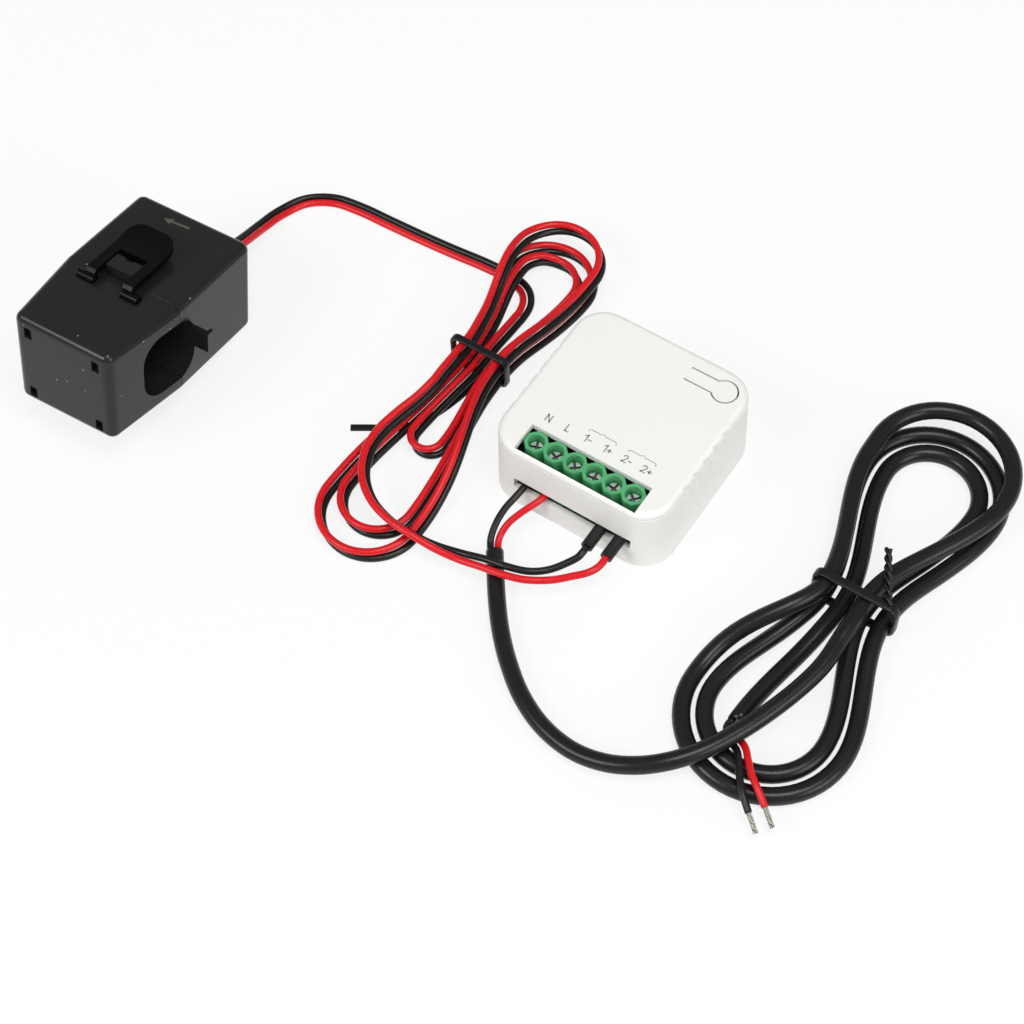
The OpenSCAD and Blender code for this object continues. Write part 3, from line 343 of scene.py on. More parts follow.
# %% Sizes and routes of the power lead
JACKET_D = 4.0
POWER_CORE_D = 1.6
POWER_AT = (62, -7)
POWER_LOW = JACKET_D / 2 + TOUCH
POWER_BENDS = [(46, 9.8, 12.2), (45.5, 12.2, 14.6), (51, 14.6, 17), (50.5, 17, 19.4), (55, 14.6, 17)]
power_hank = Hank(1, POWER_BENDS, 1.2, 4.8, 4.9, -37, -12, 3.5, 6.2)
JACKET_ROUTE = [
    (-10, -37, 2.4), (-7, -41.2, 2.3), (-3, -46.6, 2.05), (2, -52.6, 2.05), (8, -58.4, 2.05),
    (15, -63.6, 2.05), (22.5, -67, 2.1), (30.5, -68.4, 2.6), (38, -67.6, 3.8), (44.5, -65, 5.3),
    (50, -60.8, 6.4), (54.5, -55, 6.7), (58.2, -48, 6.7), (61.4, -40, 6.7), (63.9, -32, 6.85),
    (65.2, -26, 7.1), (65.5, -22.5, 7.3), (65.5, -19, 7.45),
]
TERMINAL_X = 0.6
FRONT_Y = -22.5
ENTRY_Y = -19.0
WIRE_Z = 7.7
BLACK_CORE_ROUTE = [
    (-12.2, -25, 7.3), (-12.9, -28.5, 6.2), (-13, -32, 4.6),
    (-12.5, -34.7, 3.1), (-11.9, -35.9, 2.5), (-10.7, -37.5, 2.4),
]
RED_CORE_ROUTE = [
    (-7.6, -24.5, 7.4), (-9.2, -27.5, 6.4), (-10.6, -30.5, 4.9),
    (-11, -33, 3.3), (-10.5, -34.9, 2.5), (-9.3, -36.5, 2.4),
]
TAIL_ROUTE = [
    (55.8, -44, 2.03), (55.66, -45.7, 2.06), (57.6, -47.9, 3), (60.4, -49.9, 4.6), (62.4, -52.4, 5.4),
    (64.5, -55.1, 5.6), (66.9, -57.4, 5.4), (70, -59.8, 4.2),
]
TAIL_HALF = (0.95, 1.8, 0.5, 0.5)
TAIL_ROLL = (0, 0, 0, 1)


def power_line():
    hank = []
    for u, v, z in power_hank.line():
        lift = WAIST_LIFT * plateau(u / WAIST_HALF)
        hank.append(np.array([POWER_AT[0] + v, POWER_AT[1] + u, POWER_LOW + z + lift]))
    free, _ = spline(JACKET_ROUTE, 8)
    return free[:-1] + hank[::-1]


def terminal_axis(i):
    return TERMINAL_X + (i - 2.5) * TERMINAL_PITCH


def core_line(i, route):
    x = terminal_axis(i)
    return spline([(x, ENTRY_Y, WIRE_Z), (x, FRONT_Y, WIRE_Z)] + route, 8)[0]


print("power hank with", power_hank.last, "bends, free route with", len(JACKET_ROUTE), "points")

# %% [markdown]
# ### From lines to tubes
# A curve with a round bevel would make a tube too. Here the mesh is built by hand, because the same points
# then also give the lead's length and path: rings of vertices square to the line, joined by quads, with both
# ends closed. Rings that keep their "up" near the sky never twist, because no lead here stands on end.

# %% Objects from meshes, and two sections
def link(name, mesh):
    obj = bpy.data.objects.new(name, mesh)
    scene.collection.objects.link(obj)
    return obj


def settle(name, mesh):
    """An object made from a finished bmesh, which is used up."""
    data = bpy.data.meshes.new(name)
    mesh.to_mesh(data)
    mesh.free()
    return link(name, data)


def round_section(diameter, sides):
    turns = [2 * math.pi * k / sides for k in range(sides)]
    return [(diameter / 2 * math.cos(a), diameter / 2 * math.sin(a)) for a in turns]


def strap_section(wide, thick, sides=20):
    """A flat strap's section: a rectangle with generously rounded corners."""
    out = []
    for k in range(sides):
        a = 2 * math.pi * k / sides
        x = math.copysign(abs(math.cos(a)) ** 0.5, math.cos(a))
        y = math.copysign(abs(math.sin(a)) ** 0.6, math.sin(a))
        out.append((wide / 2 * x, thick / 2 * y))
    return out


# %% Sweep a skin along a line
def sweep(name, line, section, side=None, closed=False):
    """A closed skin along a line in millimetres; the section goes sideways, then up."""
    line = np.array(line)
    keep = [0] + [i for i in range(1, len(line)) if np.linalg.norm(line[i] - line[i - 1]) > 1e-6]
    line = line[keep]
    ahead = headings(np.vstack([line[-1:], line, line[:1]]))[1:-1] if closed else headings(line)
    mesh = bmesh.new()
    rings = []
    for p, h in zip(line, ahead):
        across = np.cross(h, [0, 0, 1]) if side is None else np.array(side, float)
        across /= np.linalg.norm(across)
        above = np.cross(across, h)
        rings.append([mesh.verts.new((p + x * across + y * above) * MM) for x, y in section])
    sides = len(section)
    pairs = list(zip(rings, rings[1:]))
    if closed:
        pairs.append((rings[-1], rings[0]))
    for a, b in pairs:
        for k in range(sides):
            mesh.faces.new((a[k], a[(k + 1) % sides], b[(k + 1) % sides], b[k]))
    if not closed:
        mesh.faces.new(list(reversed(rings[0])))
        mesh.faces.new(rings[-1])
    bmesh.ops.recalc_face_normals(mesh, faces=mesh.faces)
    for face in mesh.faces:
        face.smooth = len(face.verts) == 4
    return settle(name, mesh)


def tube(name, line, diameter, sides=16):
    return sweep(name, line, round_section(diameter, sides))


def merge(name, pieces):
    """One object out of several, so that one piece of the real thing is one piece here."""
    mesh = bmesh.new()
    for piece in pieces:
        mesh.from_mesh(piece.data)
        bpy.data.objects.remove(piece)
    return settle(name, mesh)


def length_of(line):
    line = np.array(line)
    return float(np.linalg.norm(np.diff(line, axis=0), axis=1).sum()) * MM


# %% Make the leads
ROOT = "meter"
red_line = sensor_line(1)
black_line = sensor_line(-1)
jacket_line = power_line()
sensor_red = tube("sensor_lead_red", red_line, CORE_D)
sensor_black = tube("sensor_lead_black", black_line, CORE_D)
power_jacket = tube("power_lead_jacket", jacket_line, JACKET_D, 22)
core_black = tube("power_core_black", core_line(0, BLACK_CORE_ROUTE), POWER_CORE_D)
core_red = tube("power_core_red", core_line(1, RED_CORE_ROUTE), POWER_CORE_D)
black_tail_line = pair_line(TAIL_ROUTE, 1, TAIL_ROLL, TAIL_HALF)
red_tail_line = pair_line(TAIL_ROUTE, -1, TAIL_ROLL, TAIL_HALF)
tail_black = tube("power_tail_black", black_tail_line, POWER_CORE_D)
tail_red = tube("power_tail_red", red_tail_line, POWER_CORE_D)
for piece in (sensor_red, sensor_black, power_jacket, core_black, core_red, tail_black, tail_red):
    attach(piece, ROOT)
for colour, piece in (("red", sensor_red), ("black", sensor_black)):
    lead = f"sensor_{colour}"
    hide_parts(f"{lead}_clamp_lead", f"{lead}_hank", f"{lead}_module_lead")
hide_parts("power_lead", "power_hank")
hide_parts("power_black_tail")
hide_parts("power_red_tail")
print("sensor lead", round(length_of(red_line), 3), "m, power lead", round(length_of(jacket_line), 3), "m")

# %% [markdown]
# ## Floor and light
# A plain white floor, three soft lamps and a sky that is brighter in front than behind, as in a product
# studio. More light would whiten the floor, but it would bleach the object too. So most of the floor's white
# is a glow that only the camera and reflections see, and the rest takes the soft shadow under the object.

# %% The floor
def new_material(name):
    material = bpy.data.materials.new(name)
    material.use_nodes = True
    return material, material.node_tree.nodes, material.node_tree.links


def put(node, **values):
    """Set a node's inputs by name, an underscore standing for a space."""
    for label, value in values.items():
        node.inputs[label.replace("_", " ")].default_value = value


HALF_FLOOR = 3.0
FLOOR_Z = -0.00002
FLOOR_CORNERS = ((-1, -1), (1, -1), (1, 1), (-1, 1))
FLOOR_WHITE = (0.9, 0.9, 0.9, 1)
FLOOR_GLOW = 0.8
floor_mesh = bpy.data.meshes.new("floor")
floor_points = [(x * HALF_FLOOR, y * HALF_FLOOR, FLOOR_Z) for x, y in FLOOR_CORNERS]
floor_mesh.from_pydata(floor_points, [], [(0, 1, 2, 3)])
floor = link("floor", floor_mesh)
paper, nodes, links = new_material("floor_paper")
shader = nodes["Principled BSDF"]
put(shader, Base_Color=FLOOR_WHITE, Roughness=0.9, Specular_IOR_Level=0.1)
glow = nodes.new("ShaderNodeEmission")
put(glow, Strength=1.0)
both = nodes.new("ShaderNodeMixShader")
rays = nodes.new("ShaderNodeLightPath")
share = nodes.new("ShaderNodeMath")
share.operation = "MULTIPLY"
share.inputs[1].default_value = FLOOR_GLOW
seen = nodes.new("ShaderNodeMath")
seen.operation = "MAXIMUM"
links.new(rays.outputs["Is Camera Ray"], seen.inputs[0])
links.new(rays.outputs["Is Glossy Ray"], seen.inputs[1])
links.new(seen.outputs[0], share.inputs[0])
links.new(share.outputs[0], both.inputs[0])
links.new(shader.outputs[0], both.inputs[1])
links.new(glow.outputs[0], both.inputs[2])
links.new(both.outputs[0], nodes["Material Output"].inputs["Surface"])
floor_mesh.materials.append(paper)
print("floor", 2 * HALF_FLOOR, "m across")

# %% Lamps and sky
LAMP_AIM = Vector((-0.02, -0.02, 0))
SKY_AXIS = (0.0, -0.75, -0.3)
SKY_REACH = (-0.25, 0.75)
SKY_STRENGTH = (0.3, 0.5)


def lamp(name, place, size, power):
    data = bpy.data.lights.new(name, "AREA")
    data.shape = "DISK"
    data.size = size
    data.energy = power
    obj = bpy.data.objects.new(name, data)
    obj.location = place
    obj.rotation_euler = (LAMP_AIM - Vector(place)).to_track_quat("-Z", "Y").to_euler()
    scene.collection.objects.link(obj)


lamp("key_softbox", (-0.42, -0.78, 0.75), 0.5, 4.5)
lamp("top_softbox", (0.3, -0.1, 1.15), 0.6, 6.0)
lamp("side_softbox", (0.95, -0.1, 0.5), 0.6, 3.6)
world = bpy.data.worlds.new("studio")
scene.world = world
world.use_nodes = True
nodes = world.node_tree.nodes
links = world.node_tree.links
toward = nodes.new("ShaderNodeTexCoord")
facing = nodes.new("ShaderNodeVectorMath")
facing.operation = "DOT_PRODUCT"
facing.inputs[1].default_value = SKY_AXIS
level = nodes.new("ShaderNodeMapRange")
put(level, From_Min=SKY_REACH[0], From_Max=SKY_REACH[1], To_Min=SKY_STRENGTH[0], To_Max=SKY_STRENGTH[1])
links.new(toward.outputs["Generated"], facing.inputs[0])
links.new(facing.outputs["Value"], level.inputs["Value"])
links.new(level.outputs["Result"], nodes["Background"].inputs["Strength"])
put(nodes["Background"], Color=(1, 1, 1, 1))
scene.view_settings.view_transform = "Standard"
print("three lamps and a sky")

# %% [markdown]
# ## Finishes
# The real pieces are moulded plastic, soft insulation, plated metal and print. Pictures could be wrapped
# round them, but noise needs no unwrapping and stays fine close up. So every finish is a Principled shader
# with a little noise in its colour, roughness and bump, read from Object coordinates, so that it stays put on
# the piece from every side. The numbers after a finish's colour are its roughness, the scale and depth of its
# grain, and the scale and strength of the clouds in its colour. Case plastic also has a few specks of dust.

# %% How a finish is built
DUST = 0.045
DUST_SCALE = 220
DUST_COLOUR = (0.3, 0.29, 0.27, 1)
POLISH_SPREAD = 0.07
BUMP_STRENGTH = 0.35


def dust(nodes, links, place, tint, shader, share):
    """A few pale specks of dust, one to each cell of a coarse pattern."""
    cells = nodes.new("ShaderNodeTexVoronoi")
    put(cells, Scale=DUST_SCALE)
    links.new(place.outputs["Object"], cells.inputs["Vector"])
    near = nodes.new("ShaderNodeMath")
    near.operation = "LESS_THAN"
    near.inputs[1].default_value = share
    links.new(cells.outputs["Distance"], near.inputs[0])
    pale = nodes.new("ShaderNodeMix")
    pale.data_type = "RGBA"
    put(pale, B=DUST_COLOUR)
    links.new(near.outputs[0], pale.inputs["Factor"])
    links.new(tint.outputs["Result"], pale.inputs["A"])
    links.new(pale.outputs["Result"], shader.inputs["Base Color"])


def finish(name, colour, rough, grain, grain_depth, cloud, cloud_share, metal=0.0, specular=0.5, specks=0.0):
    material, nodes, links = new_material(name)
    shader = nodes["Principled BSDF"]
    put(shader, Metallic=metal, Specular_IOR_Level=specular)
    place = nodes.new("ShaderNodeTexCoord")
    cloud_noise = nodes.new("ShaderNodeTexNoise")
    put(cloud_noise, Scale=cloud, Detail=4)
    grain_noise = nodes.new("ShaderNodeTexNoise")
    put(grain_noise, Scale=grain, Detail=3)
    links.new(place.outputs["Object"], cloud_noise.inputs["Vector"])
    links.new(place.outputs["Object"], grain_noise.inputs["Vector"])
    tint = nodes.new("ShaderNodeMix")
    tint.data_type = "RGBA"
    darker = [c * (1 - cloud_share) for c in colour]
    lighter = [c * (1 + cloud_share) for c in colour]
    put(tint, A=(*darker, 1), B=(*lighter, 1))
    links.new(cloud_noise.outputs["Fac"], tint.inputs["Factor"])
    links.new(tint.outputs["Result"], shader.inputs["Base Color"])
    if specks:
        dust(nodes, links, place, tint, shader, specks)
    polish = nodes.new("ShaderNodeMapRange")
    put(polish, To_Min=rough - POLISH_SPREAD, To_Max=rough + POLISH_SPREAD)
    links.new(grain_noise.outputs["Fac"], polish.inputs["Value"])
    links.new(polish.outputs["Result"], shader.inputs["Roughness"])
    bump = nodes.new("ShaderNodeBump")
    put(bump, Strength=BUMP_STRENGTH, Distance=grain_depth * MM)
    links.new(grain_noise.outputs["Fac"], bump.inputs["Height"])
    links.new(bump.outputs["Normal"], shader.inputs["Normal"])
    return material


# %% The finishes
CASE_BLACK = (0.0155, 0.0148, 0.0132)
LATCH_BLACK = (0.0025, 0.0025, 0.0024)
CORE_BLACK = (0.0095, 0.0092, 0.0092)
JACKET_BLACK = (0.0105, 0.0103, 0.01)
SLEEVE_BLACK = (0.006, 0.006, 0.0065)
white_plastic = finish("white_moulded_plastic", (0.85, 0.853, 0.82), 0.48, 3500, 0.02, 40, 0.012)
case_plastic = finish("black_case_plastic", CASE_BLACK, 0.2, 1800, 0.004, 80, 0.2, specular=0.29, specks=DUST)
latch_plastic = finish("black_latch_plastic", LATCH_BLACK, 0.2, 2200, 0.003, 90, 0.2, specular=0.14)
terminal_plastic = finish("green_terminal_plastic", (0.082, 0.39, 0.16), 0.4, 2600, 0.015, 120, 0.1)
board_lacquer = finish("green_board_lacquer", (0.02, 0.11, 0.05), 0.35, 1500, 0.01, 200, 0.2)
screw_plate = finish("screw_plate", (0.82, 0.82, 0.8), 0.4, 3000, 0.004, 300, 0.06, metal=0.65)
# Painted shade for the faces inside a screw's cross, darker where the recess is in shadow
painted_slot_shade = finish("screw_slot_painted_shade", (0.16, 0.16, 0.155), 0.5, 3000, 0.004, 300, 0.1, metal=0.5)
nickel_plate = finish("nickel_plate", (0.74, 0.74, 0.72), 0.42, 3000, 0.02, 300, 0.1, metal=1.0)
tinned_wire = finish("tinned_copper_wire", (0.47, 0.45, 0.41), 0.35, 3000, 0.02, 400, 0.15, metal=1.0)
red_sleeving = finish("red_soft_insulation", (0.66, 0.007, 0.013), 0.3, 900, 0.02, 150, 0.1, specular=0.35)
black_sleeving = finish("black_soft_insulation", CORE_BLACK, 0.3, 900, 0.02, 150, 0.2, specular=0.35)
jacket_rubber = finish("black_lead_jacket", JACKET_BLACK, 0.27, 1200, 0.03, 120, 0.2, specular=0.3)
shrink_tube = finish("black_shrink_tube", SLEEVE_BLACK, 0.45, 1600, 0.03, 200, 0.2, specular=0.35)
tie_skin = finish("black_tie_skin", SLEEVE_BLACK, 0.36, 1600, 0.02, 200, 0.2, specular=0.35)
grey_ink = finish("grey_print", (0.31, 0.31, 0.302), 0.6, 4000, 0.002, 500, 0.08)
arrow_ink = finish("faded_clamp_print", (0.095, 0.087, 0.074), 0.6, 4000, 0.002, 500, 0.15)
ferrite_face = finish("ground_ferrite", (0.07, 0.07, 0.075), 0.45, 1500, 0.02, 100, 0.2)
copper_wire = finish("enamelled_copper", (0.5, 0.2, 0.07), 0.3, 2000, 0.03, 400, 0.2, metal=0.8)
dark_part = finish("dark_component", (0.02, 0.02, 0.022), 0.5, 1500, 0.01, 150, 0.2)
bright_can = finish("bright_shield_can", (0.6, 0.6, 0.6), 0.3, 2000, 0.01, 200, 0.1, metal=1.0)
blue_epoxy = finish("blue_epoxy", (0.03, 0.1, 0.35), 0.35, 900, 0.03, 150, 0.15)
yellow_tape = finish("yellow_tape", (0.6, 0.42, 0.06), 0.4, 900, 0.02, 150, 0.12)
print(len(bpy.data.materials), "materials")


# %% Paint the leads
def paint(obj, material):
    obj.data.materials.clear()
    obj.data.materials.append(material)


for piece, material in (
    (sensor_red, red_sleeving), (sensor_black, black_sleeving), (power_jacket, jacket_rubber),
    (core_black, black_sleeving), (core_red, red_sleeving),
    (tail_black, black_sleeving), (tail_red, red_sleeving),
):
    paint(piece, material)
print("leads painted")

# %% [markdown]
# ## Smooth skins over the solids
# The frame's meshes are loose triangles. A merged copy with sharp edges kept and normals weighted by face
# area shows a fillet as one soft band of light, so each moulded piece gets such a skin, which then stands for
# its node. The clamp's parting line and the latch also have their edges eased, and the cover's grip notches
# are closed below, so that they are short.

# %% Choose the edges to ease
CASE_H = 25.6
PARTING_NEAR = 0.07
PARTING_ANGLE = 1.0
OUTER_ANGLE = 0.9
SIDE_RIM = 2.4
FACE_RIM = 0.7
LOW_WALL = (2, 5)


def parting_edges(mesh):
    """The outer edges of a clamp half, where it meets the other half."""
    spots = {}
    for vertex in mesh.verts:
        x = vertex.co.x / MM - CLAMP_AT[0]
        y = vertex.co.y / MM - CLAMP_AT[1]
        rise = vertex.co.z / MM - CLAMP_Z
        fore = y * math.cos(CLAMP_TURN) - x * math.sin(CLAMP_TURN)
        across = x * math.cos(CLAMP_TURN) + y * math.sin(CLAMP_TURN)
        along = fore * math.cos(CLAMP_PITCH) - rise * math.sin(CLAMP_PITCH)
        height = rise * math.cos(CLAMP_PITCH) + fore * math.sin(CLAMP_PITCH)
        spots[vertex] = (across, along, height)
    half = max(abs(spot[0]) for spot in spots.values() if LOW_WALL[0] < spot[2] < LOW_WALL[1])
    outer = []
    for edge in mesh.edges:
        ends = [spots[vertex] for vertex in edge.verts]
        flat = all(abs(along) < PARTING_NEAR for _, along, _ in ends)
        beside = [abs(across) > half - SIDE_RIM for across, _, _ in ends]
        above = [not FACE_RIM < height < CASE_H - FACE_RIM for _, _, height in ends]
        rim = all(side or top for side, top in zip(beside, above))
        if flat and rim and len(edge.link_faces) == 2 and edge.calc_face_angle(0) > PARTING_ANGLE:
            outer.append(edge)
    return outer


def outer_edges(mesh):
    """Every edge where two faces meet at more than about fifty degrees."""
    pairs = [edge for edge in mesh.edges if len(edge.link_faces) == 2]
    return [edge for edge in pairs if edge.calc_face_angle(0) > OUTER_ANGLE]


# %% Make one skin
SHARP = 32
MERGE_REACH = 0.000002
bodies = frame["record"]["behaviour"]["bodies"]
BODY_OF = {node: body for body, members in bodies.items() for node in members}


def soften(name, source, sharp=SHARP, ease=0.0, choose=parting_edges):
    """A copy of a mesh with its loose triangles merged, smooth but for its sharp edges."""
    mesh = bmesh.new()
    mesh.from_mesh(source)
    bmesh.ops.remove_doubles(mesh, verts=mesh.verts, dist=MERGE_REACH)
    if ease:
        edges = choose(mesh)
        offset = ease * MM
        bmesh.ops.bevel(mesh, geom=edges, offset=offset, segments=1, affect="EDGES", clamp_overlap=True)
        print(name, len(edges), "edges eased")
    limit = math.radians(sharp)
    for face in mesh.faces:
        face.smooth = True
    for edge in mesh.edges:
        edge.smooth = len(edge.link_faces) == 2 and edge.calc_face_angle(0) < limit
    obj = settle(name, mesh)
    weigh = obj.modifiers.new("weighted_normals", "WEIGHTED_NORMAL")
    weigh.keep_sharp = True
    return obj


def stand_for(obj, node, material):
    paint(obj, material)
    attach(obj, BODY_OF[node])
    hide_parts(node)


def skin(node, material, ease=0.0, choose=parting_edges):
    stand_for(soften(node + "_skin", frame["nodes"][node].data, SHARP, ease, choose), node, material)


for node, material in (
    ("bottom_cover", white_plastic), ("reset_button", white_plastic), ("terminal_block", terminal_plastic),
    ("latch_catch", case_plastic), ("core_carrier", case_plastic),
    ("sensor_red_sleeve", shrink_tube), ("sensor_black_sleeve", shrink_tube),
):
    skin(node, material)
print("lower case, button, terminals, catch, carrier and sleeves skinned")

# %% The cover, with its notches closed below
NOTCH_Y = (-10.5, 8.9)
NOTCH_SECTION = ((20.8, 0.01), (22.49, 0.01), (22.145, 13.8), (21.25, 16.6), (20.8, 16.6))


def united(obj, fillers):
    """The object's mesh made one solid with the fillers, which are used up."""
    for filler in fillers:
        union = obj.modifiers.new("union", "BOOLEAN")
        union.operation = "UNION"
        union.solver = "EXACT"
        union.object = filler
    result = obj.evaluated_get(bpy.context.evaluated_depsgraph_get())
    mesh = bpy.data.meshes.new_from_object(result)
    for used in (obj, *fillers):
        bpy.data.objects.remove(used)
    return mesh


def prism(name, section, reach):
    """A solid with one section, of corners across and up, from one y to another in millimetres."""
    mesh = bmesh.new()
    ends = [[mesh.verts.new(Vector((x, y, z)) * MM) for x, z in section] for y in reach]
    for i in range(len(section)):
        j = (i + 1) % len(section)
        mesh.faces.new((ends[0][i], ends[0][j], ends[1][j], ends[1][i]))
    for end in ends:
        mesh.faces.new(end)
    bmesh.ops.recalc_face_normals(mesh, faces=mesh.faces)
    return settle(name, mesh)


def notch_floor(side):
    """What closes the lower part of the grip notches on one side, with a slope under each notch."""
    return prism("notch_floor", [(side * x, z) for x, z in NOTCH_SECTION], NOTCH_Y)


plain_cover = soften("plain_cover", frame["nodes"]["top_cover"].data)
notched_cover = united(plain_cover, [notch_floor(1), notch_floor(-1)])
stand_for(soften("top_cover_skin", notched_cover), "top_cover", white_plastic)
print("cover:", len(notched_cover.polygons), "faces")

# %% The clamp's shells and the inner pieces
PARTING_EASE = 0.22
LATCH_EASE = 0.22
for node in ("clamp_rear_shell", "clamp_jaw_shell"):
    skin(node, case_plastic, PARTING_EASE)
skin("clamp_latch", latch_plastic, LATCH_EASE, outer_edges)
for i in range(1, 7):
    skin(f"terminal_cage_{i}", nickel_plate)
for node, material in (
    ("terminal_contacts", nickel_plate), ("hinge_pin", nickel_plate), ("main_board", board_lacquer),
    ("switch_body", dark_part), ("switch_plunger", dark_part), ("radio_module", bright_can),
    ("filter_capacitor", dark_part), ("varistor", blue_epoxy), ("metering_chip", dark_part),
    ("converter_transformer", yellow_tape), ("rear_core", ferrite_face), ("jaw_core", ferrite_face),
    ("coil_bobbin", white_plastic), ("coil_winding", copper_wire),
):
    skin(node, material)
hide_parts("power_black_core")
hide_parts("power_red_core")
print("skins done")

# %% [markdown]
# ## Ties
# Each hank is held by a soft strap. The loop follows a rounded rectangle round the waist. The power lead's
# tie ends in two strands twisted together, and the sensor lead's has one flat end that runs over the floor.
# The sweep that made the leads makes these too, with a flat section for a strap and a round one for a strand.

# %% Lines for the ties
TWIST_TURN = math.radians(28)
TWIST_LEN = 14
TWIST_PITCH = 4.6
TWIST_REACH = (0.55, 0.38)
TWIST_STEPS = 72


def loop_line(at, left, right, top, corner, steps=10):
    """The strap's middle line: a rounded rectangle that stands across the hank."""
    low = TIE_T / 2 + TOUCH
    high = top - TIE_T / 2 + TOUCH
    x_low = at[0] - left + TIE_T / 2
    x_high = at[0] + right - TIE_T / 2
    corners = [(x_high, low, -90), (x_high, high, 0), (x_low, high, 90), (x_low, low, 180)]
    out = []
    for x, z, start in corners:
        cx = x + (corner if x == x_low else -corner)
        cz = z + (corner if z == low else -corner)
        for i in range(steps + 1):
            a = math.radians(start + 90 * i / steps)
            out.append((cx + corner * math.cos(a), at[1], cz + corner * math.sin(a)))
    return out


def strand_line(start, phase):
    along = np.array([-math.sin(TWIST_TURN), math.cos(TWIST_TURN), 0])
    across = np.array([math.cos(TWIST_TURN), math.sin(TWIST_TURN), 0])
    out = []
    for i in range(TWIST_STEPS + 1):
        s = TWIST_LEN * i / TWIST_STEPS
        reach = mix(*TWIST_REACH, i / TWIST_STEPS)
        a = phase + 2 * math.pi * s / TWIST_PITCH
        out.append(start + s * along + reach * (math.cos(a) * across + math.sin(a) * np.array([0, 0, 1])))
    return out


# %% Make the ties
STRAP_T = TIE_T - 0.08
# Each loop's reach to the left, to the right and up, and the radius of its corners
SENSOR_LOOP = (8.45, 7.25, 10.18, 1.7)
POWER_LOOP = (9.1, 11.5, 11.03, 2.3)
TWIST_INSET = 3
STRAND_D = 1.0
POWER_STRAP_W = 2.1
ALONG_HANK = (0, 1, 0)
sensor_strap = strap_section(STRIP_W, STRAP_T)
sensor_loop = sweep("loop", loop_line(SENSOR_AT, *SENSOR_LOOP), sensor_strap, ALONG_HANK, True)
strip_points = [(x, y, TOUCH + STRIP_T / 2) for x, y in STRIP_ROUTE]
strip_end = sweep("strip", spline(strip_points, 10)[0], strap_section(STRIP_W, STRIP_T))
sensor_tie = merge("sensor_tie_skin", [sensor_loop, strip_end])
power_strap = strap_section(POWER_STRAP_W, STRAP_T)
power_loop = sweep("loop", loop_line(POWER_AT, *POWER_LOOP), power_strap, ALONG_HANK, True)
twist_start = np.array([POWER_AT[0] + POWER_LOOP[1] - TWIST_INSET, POWER_AT[1], POWER_LOOP[2]])
strands = [tube("strand", strand_line(twist_start, phase), STRAND_D, 12) for phase in (0, math.pi)]
power_tie = merge("power_tie_skin", [power_loop] + strands)
stand_for(sensor_tie, "sensor_tie", tie_skin)
stand_for(power_tie, "power_tie", tie_skin)
print("ties:", len(sensor_tie.data.polygons), "and", len(power_tie.data.polygons), "faces")

# %% [markdown]
# ## Repeats with geometry nodes
# Two things here repeat: the crossed slots of six screw heads, and the fine strands at the two bare wire
# ends. Each is a small node tree with named inputs. The tree's result is a plain mesh for each piece.

# %% Helpers for node trees
class Tree:
    """A geometry node tree with named inputs."""

    def __init__(self, name, inputs):
        self.group = bpy.data.node_groups.new(name, "GeometryNodeTree")
        self.group.interface.new_socket("Geometry", in_out="OUTPUT", socket_type="NodeSocketGeometry")
        self.keys = {}
        for label, value in inputs.items():
            kind = "NodeSocketInt" if isinstance(value, int) else "NodeSocketFloat"
            socket = self.group.interface.new_socket(label, in_out="INPUT", socket_type=kind)
            socket.default_value = value
            self.keys[label] = socket.identifier
        self.source = self.group.nodes.new("NodeGroupInput")
        self.sink = self.group.nodes.new("NodeGroupOutput")

    def give(self, socket, value):
        """A value that is a socket is linked, and any other value is set."""
        if isinstance(value, bpy.types.NodeSocket):
            self.group.links.new(value, socket)
        else:
            socket.default_value = value

    def add(self, kind, **values):
        """A node with its inputs given by name, an underscore standing for a space."""
        node = self.group.nodes.new(kind)
        for label, value in values.items():
            self.give(node.inputs[label.replace("_", " ")], value)
        return node

    def math(self, operation, a, b):
        node = self.group.nodes.new("ShaderNodeMath")
        node.operation = operation
        for socket, value in zip(node.inputs, (a, b)):
            self.give(socket, value)
        return node.outputs[0]

    def vector(self, x, y, z):
        return self.add("ShaderNodeCombineXYZ", X=x, Y=y, Z=z).outputs[0]

    def end(self, geometry, material):
        real = self.add("GeometryNodeRealizeInstances", Geometry=geometry)
        painted = self.add("GeometryNodeSetMaterial", Geometry=real.outputs[0], Material=material)
        self.group.links.new(painted.outputs[0], self.sink.inputs[0])

    def grow(self, name, values):
        """The tree's result as a plain mesh."""
        obj = link(name, bpy.data.meshes.new(name))
        modifier = obj.modifiers.new(self.group.name, "NODES")
        modifier.node_group = self.group
        for label, value in values.items():
            modifier[self.keys[label]] = value
        result = obj.evaluated_get(bpy.context.evaluated_depsgraph_get())
        mesh = bpy.data.meshes.new_from_object(result)
        bpy.data.objects.remove(obj)
        return mesh
